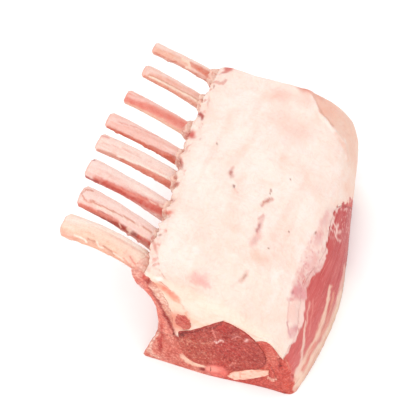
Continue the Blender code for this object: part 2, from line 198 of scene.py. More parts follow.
def read_at(line, run, at):
    """Points of a line at these lengths along it."""
    return np.stack([np.interp(at, run, line[:, 0]), np.interp(at, run, line[:, 1])], 1)


def resampled(points, count):
    """The same line with this many evenly spaced points."""
    points = np.asarray(points, float)
    run = run_of(points)
    return read_at(points, run, np.linspace(0.0, run[-1], count))


def normals(points):
    """Unit normals of a line, on its left-hand side."""
    d = np.gradient(points, axis=0)
    d /= np.linalg.norm(d, axis=1)[:, None]
    return np.stack([-d[:, 1], d[:, 0]], 1)


def bezier(a, b, c, d, count):
    """A curve from a to d that b and c pull toward them."""
    t = np.linspace(0.0, 1.0, count)[:, None]
    return (1 - t) ** 3 * a + 3 * (1 - t) ** 2 * t * b + 3 * (1 - t) * t * t * c + t ** 3 * d


def outer_line(y, count=200):
    """The outside, from the rib edge over the top and down to the table, with sharp ends."""
    x0 = along(EDGE_X, y)
    w = along(WIDTH, y)
    h = along(HEIGHT, y)
    n = along(SQUARE, y)
    a = np.linspace(0.0, math.pi / 2.0, OUTLINE_STEPS)
    x = x0 + (w - x0) * np.sin(a) ** (2.0 / n)
    z = h * np.cos(a) ** (2.0 / n)
    drop = NEAR_DROP * math.exp(-((y / NEAR_DROP_REACH) ** 1.5))
    z = z - drop * smooth(x0, x0 + NEAR_DROP_RISE, x) * (1.0 - smooth(*NEAR_DROP_FADE, x))
    wave = np.sin(x / WAVE_LENGTHS[0] + y / WAVE_LENGTHS[1]) * np.sin(y / WAVE_LENGTHS[2])
    z = z + WAVE * wave * smooth(x0, x0 + 20.0, x) * smooth(20.0, 60.0, z)
    return resampled(np.stack([x, np.maximum(z, 0.0)], 1), count)


def centre_line(y):
    """The middle of a rib at y, from its foot over its root to its tip, and the root's place in the list."""
    foot = np.array(RIB_FOOT)
    root = np.array([along(ROOT_X, y, RIB_Y), along(ROOT_Z, y, RIB_Y)])
    tip = np.array([along(TIP_X, y, RIB_Y), along(TIP_Z, y, RIB_Y)])
    rise = math.radians(along(ROOT_RISE, y, RIB_Y))
    end = math.radians(along(TIP_RISE, y, RIB_Y))
    turn = np.array([-math.cos(rise), math.sin(rise)])
    last = np.array([-math.cos(end), math.sin(end)])
    low = np.linalg.norm(root - foot)
    high = np.linalg.norm(tip - root)
    up = np.array(FOOT_TURN)
    inside = bezier(foot, foot + up * low * 0.45, root - turn * low * 0.3, root, 120)
    bare = bezier(root, root + turn * high * 0.33, tip - last * high * 0.33, tip, 80)
    return np.concatenate([inside, bare[1:]]), 119


def rib_half(y):
    """Half the thickness of the ribs at y."""
    return 0.5 * along(RIB_THICK, y, RIB_Y)


def eye_near(y):
    """1 at the near cut, 0 where the eye has its plain egg shape."""
    return 1.0 - smooth(0.0, EYE_FORM_FADE, y)


def eye_swell(y, a):
    """The eye's corners and flats near the cut, as a factor on the plain egg shape."""
    turn = np.degrees((a + math.pi) % (2.0 * math.pi) - math.pi)
    return 1.0 + eye_near(y) * (np.interp(turn, EYE_TURNS, EYE_SWELLS) - 1.0)


def eye_at(y, a, grow=0.0):
    """Points of the eye's edge at these angles."""
    swell = eye_swell(y, a)
    u = (ends(EYE_LONG, y) * swell + grow) * np.cos(a)
    v = (ends(EYE_SHORT, y) * (1.0 + ends(EYE_EGG, y) * np.cos(a)) * swell + grow) * np.sin(a)
    t = ends(EYE_TILT, y)
    x = ends(EYE_X, y) + u * math.cos(t) - v * math.sin(t)
    z = ends(EYE_Z, y) + u * math.sin(t) + v * math.cos(t)
    return np.stack([x, z], -1)


def eye_depth(y, x, z):
    """Roughly how far a point lies outside the eye's edge, in millimetres; below zero inside."""
    t = ends(EYE_TILT, y)
    dx = x - ends(EYE_X, y)
    dz = z - ends(EYE_Z, y)
    u = dx * np.cos(t) + dz * np.sin(t)
    v = -dx * np.sin(t) + dz * np.cos(t)
    c = np.clip(u / ends(EYE_LONG, y), -1.2, 1.2)
    tall = ends(EYE_SHORT, y) * (1.0 + ends(EYE_EGG, y) * c)
    swell = eye_swell(y, np.arctan2(v / tall, c))
    r = np.sqrt(c ** 2 + (v / tall) ** 2) / swell
    return (r - 1.0) * 0.5 * (tall + ends(EYE_LONG, y)) * 0.9


def eye_angle(y, point):
    """The angle of the eye's edge that is nearest to a point."""
    a = np.linspace(-math.pi, math.pi, 1441)
    return float(a[np.argmin(np.hypot(*(eye_at(y, a) - np.asarray(point)).T))])


def wall_face(y, s, line, run, root):
    """The middle line at s, its outward side and how thick the meat outside it is."""
    mid = read_at(line, run, s)
    thin = 1.0 - WALL_THINS * smooth(run[root] - 14.0, run[root] + WEB, s)
    return mid, normals(mid), (rib_half(y) + WALL_FILM * thin)[:, None]


HASH = np.random.RandomState(11).rand(8192)


def cells(i, j, k, seed):
    """Random numbers from 0 to 1 for whole-numbered cells, the same in every run."""
    h = (i * 73856093) ^ (j * 19349663) ^ (k * 83492791) ^ (seed * 962287)
    h = (h ^ (h >> 13)) * 1274126177
    return HASH[(h ^ (h >> 16)) & 8191]


def noise(p, scale, seed):
    """Smooth noise from -1 to 1 at points in millimetres, with lumps of this size (one number or three)."""
    q = p / np.asarray(scale, float) + seed * 7.37
    i = np.floor(q).astype(np.int64)
    f = q - i
    f = f * f * (3.0 - 2.0 * f)
    total = np.zeros(len(p))
    for corner in range(8):
        d = [(corner >> b) & 1 for b in range(3)]
        w = np.prod([f[:, b] if d[b] else 1.0 - f[:, b] for b in range(3)], axis=0)
        total += w * cells(i[:, 0] + d[0], i[:, 1] + d[1], i[:, 2] + d[2], seed)
    return 2.0 * total - 1.0


def fbm(p, scale, seed, octaves=3, gain=0.5):
    """Noise with finer layers added to it."""
    total = np.zeros(len(p))
    size, share = np.asarray(scale, float), 1.0
    for k in range(octaves):
        total += share * noise(p, size, seed + 31 * k)
        size, share = size / 2.03, share * gain
    return total


def noise_1d(y, scale, seed):
    """Noise along the rack alone."""
    y = np.atleast_1d(np.asarray(y, float))
    return noise(np.stack([y, np.zeros_like(y), np.zeros_like(y)], 1), scale, seed)


def lean(points):
    """Moves the low front of the cut face a little toward the viewer, as the solids have it."""
    p = points.copy()
    across = 1.0 - smooth(*FOOT_LEAN_FADE, p[:, 0])
    push = FOOT_LEAN * (1.0 - smooth(2.0, FOOT_LEAN_TOP, p[:, 2])) * across
    p[:, 1] -= push * (1.0 - smooth(0.0, 7.0, p[:, 1]))
    return p


def photo_px(p):
    """Where points given in design millimetres stand in the photo, in its pixels."""
    q = lean(p)
    row = np.stack([q[:, 0] - BASE_CENTRE[0], q[:, 1] - BASE_CENTRE[1], q[:, 2]], 1) * 0.001
    d = row - np.array(EYE_POINT)
    depth = -(d @ BACK)
    return np.stack([PHOTO[0] / 2 + FOCAL * (d @ RIGHT) / depth, PHOTO[1] / 2 - FOCAL * (d @ UP) / depth], 1)


def wobbled(p, amount, size, seed):
    """Photo places shaken a little, so that painted edges come out uneven."""
    return photo_px(p) + amount * np.stack([fbm(p, size, seed, 2), fbm(p, size, seed + 1, 2)], 1)


def cut_part(n):
    """1 where the surface faces along the rack, as the cut ends do."""
    return smooth(0.45, 0.75, np.abs(n[:, 1]))


def spot(uv, u, v, ru, rv, turn=0.0, soft=0.5):
    """1 inside an oval of the photo's plane, fading out at its edge."""
    c, s = math.cos(math.radians(turn)), math.sin(math.radians(turn))
    du, dv = uv[:, 0] - u, uv[:, 1] - v
    r = np.hypot((du * c + dv * s) / ru, (-du * s + dv * c) / rv)
    return 1.0 - smooth(1.0 - soft, 1.0 + soft, r)


def stroke(uv, points, width, soft=0.6):
    """1 within a brush line of the photo's plane; width is one number, or one for each end."""
    pts = np.asarray(points, float)
    w0, w1 = width if isinstance(width, tuple) else (width, width)
    best = np.full(len(uv), 1e9)
    for k in range(len(pts) - 1):
        a, b = pts[k], pts[k + 1]
        ab = b - a
        t = np.clip(((uv - a) @ ab) / (ab @ ab), 0.0, 1.0)
        share = (k + t) / (len(pts) - 1)
        half = 0.5 * (w0 + (w1 - w0) * share)
        best = np.minimum(best, np.hypot(*(uv - a - t[:, None] * ab).T) / half)
    return 1.0 - smooth(1.0 - soft, 1.0 + soft, best)


def side_of(uv, points):
    """Distance from a line of the photo's plane, above zero on its right-hand side going down the list."""
    pts = np.asarray(points, float)
    best = np.full(len(uv), 1e9)
    sign = np.ones(len(uv))
    for k in range(len(pts) - 1):
        a, b = pts[k], pts[k + 1]
        ab = b - a
        raw = ((uv - a) @ ab) / (ab @ ab)
        t = np.clip(raw, 0.0 if k else -9.0, 1.0 if k < len(pts) - 2 else 9.0)
        off = uv - a - t[:, None] * ab
        d = np.hypot(*off.T)
        cross = ab[0] * off[:, 1] - ab[1] * off[:, 0]
        sign = np.where(d < best, np.sign(cross), sign)
        best = np.minimum(best, d)
    return -sign * best


def srgb(r, g, b):
    """Linear colour of a screen colour given from 0 to 255."""
    c = np.array([r, g, b], float) / 255.0
    return np.where(c <= 0.04045, c / 12.92, ((c + 0.055) / 1.055) ** 2.4)


def tint(r, g, b):
    """The same as a tuple, for the node materials."""
    return tuple(srgb(r, g, b))


def coat_of(count, colour):
    """One tone for every point."""
    return np.tile(srgb(*colour), (count, 1))


def lay(tone, mask, colour, strength=1.0):
    """Covers tones with a colour where the mask is."""
    m = np.clip(mask * strength, 0.0, 1.0)[:, None]
    return tone * (1.0 - m) + srgb(*colour) * m


def brush(tone, uv, mask, marks):
    """Lays a list of brush lines: points, width, colour, strength and softness."""
    for points, width, colour, strength, soft in marks:
        tone = lay(tone, stroke(uv, points, width, soft) * mask, colour, strength)
    return tone


def dab(tone, uv, mask, marks):
    """Lays a list of ovals: middle, half sizes, turn, colour, strength and softness."""
    for u, v, ru, rv, turn, colour, strength, soft in marks:
        tone = lay(tone, spot(uv, u, v, ru, rv, turn, soft) * mask, colour, strength)
    return tone


def stations_along(count, crowd=0.35):
    """Places along the rack from 0 to its length, closer together at both ends."""
    t = np.linspace(0.0, 1.0, count)
    return LENGTH * (t - crowd * np.sin(2.0 * math.pi * t) / (2.0 * math.pi))


def block(ys, top, under, steps):
    """The skin of a body between two sheets: points, quads, and for each point its column, depth and row."""
    rows, cols = top.shape[:2]
    keep = np.zeros((rows, cols, steps + 1), bool)
    keep[[0, -1]] = True
    keep[:, [0, -1]] = True
    keep[:, :, [0, -1]] = True
    index = np.full(keep.shape, -1)
    index[keep] = np.arange(keep.sum())
    t = np.linspace(0.0, 1.0, steps + 1)
    xz = top[:, :, None, :] * (1.0 - t)[None, None, :, None] + under[:, :, None, :] * t[None, None, :, None]
    j, i, k = np.nonzero(keep)
    flat = xz[keep]
    points = np.stack([flat[:, 0], np.asarray(ys)[j], flat[:, 1]], 1)
    quads = []
    for grid, flip in (
        (index[0], False), (index[-1], True),
        (index[:, 0].T, False), (index[:, -1].T, True),
        (index[:, :, 0], False), (index[:, :, -1], True),
    ):
        a, b, c, d = grid[:-1, :-1], grid[1:, :-1], grid[1:, 1:], grid[:-1, 1:]
        quad = np.stack([a, b, c, d], -1).reshape(-1, 4)
        quads.append(quad[:, ::-1] if flip else quad)
    where = {"col": i / (cols - 1.0), "deep": k / float(steps), "row": j}
    return points, np.concatenate(quads), where


def sunk_ends(points, where, rows):
    """Sinks the inside of both cut ends beside the eye, so that no fold of the sheet shows there."""
    inside = (where["deep"] > 0.0) * (where["deep"] < 1.0) * (where["col"] > 0.0) * (where["col"] < 1.0)
    beside = smooth(9.0, 5.0, off_eye(points)) * inside
    points[:, 1] += END_SINK * beside * ((where["row"] == 0) * 1.0 - (where["row"] == rows - 1))
    return points


def tube(rings, caps):
    """The skin of a tube through rings (rows, count, 3) closed by shrinking rings at both ends."""
    rows, count = rings.shape[:2]
    points = [rings.reshape(-1, 3)]
    quads = []
    grid = np.arange(rows * count).reshape(rows, count)
    turn = np.roll(grid, -1, axis=1)
    quads.append(np.stack([grid[:-1], turn[:-1], turn[1:], grid[1:]], -1).reshape(-1, 4))
    total = rows * count
    tris = []
    for end, edge in ((0, grid[0]), (-1, grid[-1])):
        ring = rings[end]
        middle = ring.mean(0)
        last = edge
        for share in caps:
            points.append(middle + (ring - middle) * share)
            new = np.arange(total, total + count)
            total += count
            a, b = last, np.roll(last, -1)
            c, d = np.roll(new, -1), new
            quad = np.stack([a, b, c, d], -1)
            quads.append(quad[:, ::-1] if end == 0 else quad)
            last = new
        points.append(middle[None])
        hub = np.full(count, total)
        total += 1
        tri = np.stack([last, np.roll(last, -1), hub], -1)
        tris.append(tri[:, ::-1] if end == 0 else tri)
    return np.concatenate(points), np.concatenate(quads), np.concatenate(tris)


def vertex_normals(points, quads, tris=None):
    """Unit normals at the points, and a number that is below zero when the faces look inward."""
    n = np.zeros_like(points)
    a, b, c, d = (points[quads[:, k]] for k in range(4))
    face = np.cross(c - a, d - b)
    for k in range(4):
        np.add.at(n, quads[:, k], face)
    volume = np.einsum("ij,ij->i", a, face).sum()
    if tris is not None:
        a, b, c = (points[tris[:, k]] for k in range(3))
        face3 = np.cross(b - a, c - a)
        for k in range(3):
            np.add.at(n, tris[:, k], face3)
    n /= np.linalg.norm(n, axis=1)[:, None] + 1e-12
    return n, volume


def piece(name, points, quads, tris, tone, grain, material, nodes):
    """A shown object from points in design millimetres, riding on the rack's body."""
    row = np.stack([points[:, 0] - BASE_CENTRE[0], points[:, 1] - BASE_CENTRE[1], points[:, 2]], 1) * 0.001
    row = np.clip(row, np.array(cad_low), np.array(cad_high))
    faces = [tuple(q) for q in quads.tolist()]
    if tris is not None:
        faces += [tuple(t) for t in tris.tolist()]
    mesh = bpy.data.meshes.new(name)
    mesh.from_pydata(row.tolist(), [], faces)
    rgba = np.concatenate([tone * ALBEDO, np.ones((len(tone), 1))], 1)
    colours = mesh.color_attributes.new("tone", "FLOAT_COLOR", "POINT")
    colours.data.foreach_set("color", rgba.astype(np.float32).ravel())
    grains = mesh.attributes.new("grain", "FLOAT", "POINT")
    grains.data.foreach_set("value", grain.astype(np.float32))
    mesh.validate(clean_customdata=False)
    mesh.polygons.foreach_set("use_smooth", np.ones(len(mesh.polygons), bool))
    mesh.update()
    obj = bpy.data.objects.new(name, mesh)
    bpy.context.scene.collection.objects.link(obj)
    mesh.materials.append(material)
    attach(obj, "root")
    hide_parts(*nodes)


def shaped(points, quads, tris, relief):
    """Points moved along their normals by relief(points, normals), with faces turned outward."""
    n, volume = vertex_normals(points, quads, tris)
    if volume < 0.0:
        quads = quads[:, ::-1]
        tris = None if tris is None else tris[:, ::-1]
        n = -n
    moved = points + n * relief(points, n)[:, None]
    n, _ = vertex_normals(moved, quads, tris)
    return moved, quads, tris, n


def layer_piece(name, sheets, fineness, relief, tones, material, node, sunk=False):
    """A shown body between two sheets, with its relief and painted tones."""
    count, cols, steps = fineness
    ys = stations_along(count)
    points, quads, where = block(ys, *sheets(ys, cols), steps)
    if sunk:
        points = sunk_ends(points, where, count)
    points, quads, _, n = shaped(points, quads, None, relief)
    tone, grain = tones(points, n)
    piece(name, lean(points), quads, None, tone, grain, material, [node])


class Shader:
    """Small helper that adds nodes to one material."""

    def __init__(self, name):
        self.material = bpy.data.materials.new(name)
        self.material.use_nodes = True
        self.tree = self.material.node_tree
        self.out = self.tree.nodes["Principled BSDF"]
        place = self.add("ShaderNodeTexCoord")
        self.where = self.scaled(place.outputs["Object"], (1000.0, 1000.0, 1000.0))

    def add(self, kind, **values):
        node = self.tree.nodes.new(kind)
        for key, value in values.items():
            setattr(node, key, value)
        return node

    def link(self, source, target):
        if isinstance(source, bpy.types.NodeSocket):
            self.tree.links.new(source, target)
        else:
            target.default_value = source

    def scaled(self, vector, scale):
        node = self.add("ShaderNodeMapping")
        node.inputs["Scale"].default_value = scale
        self.tree.links.new(vector, node.inputs["Vector"])
        return node.outputs["Vector"]

    def noise(self, size, detail=3.0, rough=0.55, warp=0.0, stretch=None):
        node = self.add("ShaderNodeTexNoise")
        vector = self.where if stretch is None else self.scaled(self.where, stretch)
        self.tree.links.new(vector, node.inputs["Vector"])
        node.inputs["Scale"].default_value = 1.0 / size
        node.inputs["Detail"].default_value = detail
        node.inputs["Roughness"].default_value = rough
        node.inputs["Distortion"].default_value = warp
        return node.outputs["Fac"]

    def cells(self, size, warp):
        """Distance to the middles of uneven cells of this size."""
        node = self.add("ShaderNodeTexVoronoi", feature="F1")
        mixed = self.add("ShaderNodeVectorMath", operation="ADD")
        wobble = self.add("ShaderNodeTexNoise")
        self.tree.links.new(self.where, wobble.inputs["Vector"])
        wobble.inputs["Scale"].default_value = 1.0 / (size * 1.5)
        scale = self.add("ShaderNodeVectorMath", operation="SCALE")
        self.tree.links.new(wobble.outputs["Color"], scale.inputs[0])
        scale.inputs["Scale"].default_value = warp * size
        self.tree.links.new(self.where, mixed.inputs[0])
        self.tree.links.new(scale.outputs["Vector"], mixed.inputs[1])
        self.tree.links.new(mixed.outputs["Vector"], node.inputs["Vector"])
        node.inputs["Scale"].default_value = 1.0 / size
        return node.outputs["Distance"]

    def math(self, operation, a, b=0.0, clamp=False):
        node = self.add("ShaderNodeMath", operation=operation, use_clamp=clamp)
        self.link(a, node.inputs[0])
        self.link(b, node.inputs[1])
        return node.outputs["Value"]

    def times(self, a, b):
        return self.math("MULTIPLY", a, b)

    def plus(self, a, b, clamp=False):
        return self.math("ADD", a, b, clamp)

    def minus(self, a, b):
        return self.math("SUBTRACT", a, b)

    def span(self, value, low, high, to_low=0.0, to_high=1.0):
        node = self.add("ShaderNodeMapRange", interpolation_type="SMOOTHSTEP")
        self.link(value, node.inputs["Value"])
        for key, number in (("From Min", low), ("From Max", high), ("To Min", to_low), ("To Max", to_high)):
            node.inputs[key].default_value = number
        return node.outputs["Result"]

    def mix(self, factor, a, b, blend="MIX"):
        node = self.add("ShaderNodeMix", data_type="RGBA", blend_type=blend)
        self.link(factor, node.inputs[0])
        for source, target in ((a, node.inputs[6]), (b, node.inputs[7])):
            if isinstance(source, tuple):
                target.default_value = (*source, 1.0)
            else:
                self.tree.links.new(source, target)
        return node.outputs[2]

    def read(self, name, output="Fac"):
        node = self.add("ShaderNodeAttribute", attribute_name=name)
        return node.outputs[output]

    def bump(self, height, depth, strength=1.0):
        node = self.add("ShaderNodeBump")
        node.inputs["Strength"].default_value = strength
        node.inputs["Distance"].default_value = depth * 0.001
        self.tree.links.new(height, node.inputs["Height"])
        return node.outputs["Normal"]

    def finish(self, colour, rough, normal, coat=0.0, coat_rough=0.3, under=0.0, radius=(1.0, 0.4, 0.25),
               specular=0.5):
        s = self.out.inputs
        self.tree.links.new(colour, s["Base Color"])
        self.link(rough, s["Roughness"])
        self.tree.links.new(normal, s["Normal"])
        s["Metallic"].default_value = 0.0
        s["Specular IOR Level"].default_value = specular
        s["Coat Weight"].default_value = coat
        s["Coat Roughness"].default_value = coat_rough
        s["Subsurface Weight"].default_value = under
        s["Subsurface Radius"].default_value = radius
        s["Subsurface Scale"].default_value = 0.0016
        return self.material


def fat_material():
    """Pale waxy fat with faint pink veins, small pits and a moist gleam."""
    m = Shader("fat_skin")
    tone = m.read("tone", "Color")
    broad = m.noise(16.0, 4.0, 0.55, 0.4)
    fine = m.noise(2.2, 5.0, 0.6)
    tiny = m.noise(0.55, 3.0, 0.6)
    vein = m.span(m.math("ABSOLUTE", m.minus(m.noise(11.0, 5.0, 0.6, 1.2), 0.5)), 0.0, 0.03, 1.0, 0.0)
    colour = m.mix(m.span(broad, 0.35, 0.75, 0.0, 0.35), tone, tint(250, 214, 200), "MULTIPLY")
    colour = m.mix(m.times(vein, 0.14), colour, tint(240, 190, 178), "MULTIPLY")
    colour = m.mix(m.span(fine, 0.35, 0.8, 0.0, 0.22), colour, tint(252, 222, 208), "MULTIPLY")
    speck = m.span(tiny, 0.66, 0.8, 0.0, 0.3)
    colour = m.mix(m.times(speck, m.read("grain")), colour, tint(215, 130, 115), "MULTIPLY")
    rough = m.span(fine, 0.2, 0.8, 0.42, 0.6)
    high = m.plus(m.times(fine, 0.6), m.times(tiny, 0.12))
    normal = m.bump(high, 0.55, 0.6)
    return m.finish(colour, rough, normal, coat=0.03, coat_rough=0.35, under=0.2, specular=0.2)


def meat_material(name, fibre=(1.0, 0.08, 1.0), wet=0.06):
    """Raw muscle: grainy where it is cut across, streaked along the fibres elsewhere."""
    m = Shader(name)
    tone = m.read("tone", "Color")
    grain = m.read("grain")
    broad = m.noise(7.0, 4.0, 0.6, 0.6)
    fine = m.noise(1.1, 4.0, 0.65, 0.3)
    bundle = m.cells(1.5, warp=0.8)
    small = m.cells(0.7, warp=0.6)
    strand = m.noise(0.9, 4.0, 0.6, 0.15, stretch=fibre)
    long_strand = m.noise(3.0, 4.0, 0.55, 0.3, stretch=fibre)
    plain = m.minus(1.0, grain)
    dark_cut = m.times(m.span(m.plus(bundle, m.times(small, 0.5)), 0.45, 1.0), grain)
    dark_run = m.times(m.span(long_strand, 0.5, 0.72), plain)
    dark = m.plus(m.times(dark_cut, 0.6), m.times(dark_run, 0.3), True)
    light_cut = m.times(m.span(fine, 0.56, 0.75), grain)
    light_run = m.times(m.span(strand, 0.52, 0.75), plain)
    light = m.plus(m.times(light_cut, 0.42), m.times(light_run, 0.25), True)
    colour = m.mix(dark, tone, tint(196, 128, 120), "MULTIPLY")
    colour = m.mix(light, colour, tint(246, 190, 172))
    colour = m.mix(m.span(broad, 0.5, 0.75, 0.0, 0.3), colour, tint(222, 160, 150), "MULTIPLY")
    rough = m.span(fine, 0.25, 0.8, 0.32, 0.58)
    cut_high = m.times(m.plus(m.times(bundle, -0.9), m.times(fine, 0.8)), grain)
    run_high = m.times(m.plus(strand, long_strand), m.times(plain, 0.5))
    normal = m.bump(m.plus(cut_high, run_high), 0.6, 0.7)
    radius = (1.0, 0.3, 0.2)
    return m.finish(colour, rough, normal, coat=wet, coat_rough=0.28, under=0.1, radius=radius, specular=0.2)


def bone_material(name):
    """Scraped bone: pale, with pink streaks along it and scraps of red and membrane."""
    m = Shader(name)
    tone = m.read("tone", "Color")
    grain = m.read("grain")
    streak = m.noise(1.6, 4.0, 0.6, 0.3, stretch=(0.12, 1.0, 1.0))
    fine = m.noise(0.8, 4.0, 0.6)
    blotch = m.noise(5.0, 4.0, 0.6, 0.5)
    pores = m.cells(0.9, warp=0.7)
    colour = m.mix(m.span(streak, 0.48, 0.72, 0.0, 0.3), tone, tint(242, 198, 182), "MULTIPLY")
    colour = m.mix(m.span(blotch, 0.52, 0.75, 0.0, 0.25), colour, tint(240, 188, 168), "MULTIPLY")
    colour = m.mix(m.span(fine, 0.58, 0.8, 0.0, 0.18), colour, tint(255, 236, 226))
    hole = m.times(m.span(pores, 0.25, 0.6, 1.0, 0.0), grain)
    colour = m.mix(m.times(hole, 0.75), colour, tint(196, 110, 98), "MULTIPLY")
    rough = m.span(fine, 0.2, 0.8, 0.38, 0.6)
    high = m.plus(m.times(streak, 0.6), m.times(fine, 0.4))
    high = m.minus(high, m.times(hole, 0.8))
    normal = m.bump(high, 0.4, 0.6)
    return m.finish(colour, rough, normal, coat=0.03, coat_rough=0.3, under=0.12, specular=0.25)


fat_skin = fat_material()
side_flesh = meat_material("side_flesh")
wall_flesh = meat_material("wall_flesh", fibre=(1.0, 0.3, 0.5))
eye_flesh = meat_material("eye_flesh", wet=0.04)
small_flesh = meat_material("small_flesh")
strap_skin = bone_material("strap_skin")
chine_face = meat_material("chine_face", wet=0.03)
rib_face = bone_material("rib_face")


def rim(y, near, far):
    """How far the skin is drawn in at a cut end, for a rounded corner of these radii."""
    a = near - math.sqrt(max(near ** 2 - max(near - y, 0.0) ** 2, 0.0))
    b = far - math.sqrt(max(far ** 2 - max(far - (LENGTH - y), 0.0) ** 2, 0.0))
    return a + b


def drawn_in(y, line, x, near, far):
    """How far the skin at these x is drawn in at a cut end, less so by the rib edge."""
    from_edge = smooth(line[0, 0], line[0, 0] + EDGE_SETTLE, x)
    return rim(y, near, far) * (EDGE_KEEPS + (1.0 - EDGE_KEEPS) * from_edge)


def fat_share(y, line):
    """How far round the outside the fat reaches, as a share of the way from the rib edge to the table."""
    side_part = slice(60, None)
    shares = np.linspace(0.0, 1.0, len(line))
    return float(np.interp(-along(FAT_LOW, y), -line[side_part, 1], shares[side_part]))


def jitter(y):
    """Raggedness of the fat's lower edge, in millimetres along the skin."""
    slow = noise_1d(y, 9.0, 3)[0] * 1.6
    quick = noise_1d(y, 3.1, 5)[0] * 1.1 + noise_1d(y, 1.4, 8)[0] * 0.5
    return (slow + quick) * float(smooth(0.0, 6.0, y)) * (1.0 - float(smooth(150.0, 168.0, y)))


def skin_at(y, shares, near, far):
    """The outside at shares of the way from the rib edge to the table, drawn in at the cut ends."""
    line = outer_line(y)
    way = normals(line)
    at = np.linspace(0.0, 1.0, len(line))
    spot_at = np.stack([np.interp(shares, at, line[:, i]) for i in (0, 1)], 1)
    out = np.stack([np.interp(shares, at, way[:, i]) for i in (0, 1)], 1)
    out /= np.linalg.norm(out, axis=1)[:, None]
    skin = spot_at - out * drawn_in(y, line, spot_at[:, 0], near, far)[:, None]
    skin[:, 1] = np.maximum(skin[:, 1], 0.0)
    return skin, out, line


def layer_line(y, count=60):
    """The under side of the fat's thin lower layer, from inside the eye to the ragged edge."""
    line = outer_line(y)
    share = fat_share(y, line)
    at, out, _ = skin_at(y, np.array([share]), *LAYER_ROUND)
    edge = at[0] - out[0] * FAT_EDGE
    start = np.array([ends(EYE_X, y), ends(EYE_Z, y)]) + LAYER_START
    reach = LAYER_PULL * np.linalg.norm(edge - start)
    up = np.array([-out[0, 1], out[0, 0]])
    curve = bezier(start, start + LAYER_LEAN, edge + up * reach, edge, count)
    outside = eye_depth(y, curve[:, 0], curve[:, 1]) > 0.0
    first = int(np.argmax(outside))
    return curve[first:], eye_angle(y, curve[first])


def wall_out(y, inset=0.0):
    """The outer side of the meat round the ribs, from the foot to the root."""
    line, root = centre_line(y)
    run = run_of(line)
    mid, out, depth = wall_face(y, np.linspace(0.0, run[root] - 1.0, 60), line, run, root)
    return mid - out * (depth - inset)


def fat_sheets(ys, cols):
    """The fat's skin, and its under side round the ribs' meat, the eye and the lower layer."""
    top, under = [], []
    for y in ys:
        line = outer_line(y)
        length = run_of(line)[-1]
        share = fat_share(y, line) + jitter(y) / length
        shares = np.linspace(0.0, min(share, 0.995), cols)
        skin, out, _ = skin_at(y, shares, 0.0, 0.0)
        thin = smooth(1.0, 0.93, shares / shares[-1])
        skin -= out * (0.9 * (1.0 - thin))[:, None]
        wall = wall_out(y, 0.3)
        wall = wall[wall[:, 1] > 29.0][::-1]
        layer, stop = layer_line(y)
        arc = eye_at(y, np.linspace(math.pi, stop, 120), -0.15)
        arc = arc[np.argmax(arc[:, 1] > 26.0):]
        reach = max(arc[0, 0] - wall[-1, 0], 0.4)
        foot = np.array([[wall[-1, 0] + 0.3 * reach, 26.2], [wall[-1, 0] + 0.7 * reach, 25.9]])
        edge = skin[-1] - out[-1] * 0.7
        layer = layer[: max(2, int(len(layer) * 0.9))]
        below = resampled(np.concatenate([wall, foot, arc, layer, edge[None]]), cols)
        room = np.hypot(skin[:, None, 0] - below[None, :, 0], skin[:, None, 1] - below[None, :, 1]).min(1)
        inward = np.minimum(drawn_in(y, line, skin[:, 0], *FAT_ROUND), 0.7 * room)
        top.append(skin - out * inward[:, None])
        under.append(below)
    return np.array(top), np.array(under)


# Marks and lines of the photo, in its pixels. A brush line has its points, width, colour, strength and
# softness. A dab has its middle, half sizes, turn in degrees, colour, strength and softness.
SEAM = [
    (148.6, 281), (149.3, 288), (153, 293.5), (158, 301), (161, 306.5), (164.5, 314), (169, 322), (173, 330),
    (178, 340),
]
STRIP_LINES = (
    ([(137, 262), (140, 268), (143, 275), (147, 281)], 4.0, (219, 110, 104), 0.8, 0.7),
    ([(143, 277), (148, 281.5)], 3.4, (214, 74, 56), 0.8, 0.8),
    ([(139.5, 284), (145, 292), (150.5, 303), (156, 315)], 2.6, (238, 172, 162), 0.85, 0.8),
    ([(146, 288), (153, 301), (159, 315), (163, 326)], 4.0, (240, 132, 112), 0.75, 0.8),
    ([(161, 325), (162.4, 334), (160.5, 342)], 2.4, (207, 84, 76), 0.8, 0.8),
    ([(165.5, 324), (167, 336)], 2.6, (246, 156, 136), 0.7, 0.9),
    (SEAM[1:], (1.9, 3.0), (170, 50, 44), 0.92, 0.7),
    ([(164, 314), (169.5, 323.5)], 3.4, (160, 42, 38), 0.9, 0.7),
    ([(158.5, 333), (152.5, 341.5), (149.5, 348.5)], (2.0, 3.6), (248, 212, 194), 0.85, 0.7),
    ([(149, 349), (152.5, 354.5), (160, 358.5)], (4.0, 1.6), (247, 204, 186), 0.85, 0.7),
    ([(160, 359.5), (176, 362.2), (186, 364.2)], 1.6, (222, 128, 116), 0.7, 0.8),
)
STRIP_DABS = (
    (148, 281.3, 2.6, 3.4, 10, (164, 44, 30), 0.9, 0.6),
    (160.2, 347, 2.2, 4.4, -8, (186, 44, 46), 0.85, 0.7),
    (159.5, 340, 2.0, 3.0, 0, (204, 70, 64), 0.7, 0.8),
    (171, 344, 6.0, 7.0, 0, (236, 146, 128), 0.5, 0.9),
    (156, 353, 3.4, 2.4, 10, (244, 160, 142), 0.6, 0.8),
    (176, 352, 3.4, 3.0, 0, (206, 90, 80), 0.5, 0.9),
)
BASE_LINES = (
    ([(182.5, 356), (188, 361.5), (197, 364.2), (207, 366.8)], (5.0, 3.6), (249, 207, 183), 0.92, 0.5),
    ([(184, 351), (187, 357), (192, 361)], 2.2, (240, 170, 140), 0.7, 0.8),
    ([(208, 365), (206, 370), (209, 375)], 2.0, (251, 198, 180), 0.8, 0.7),
)
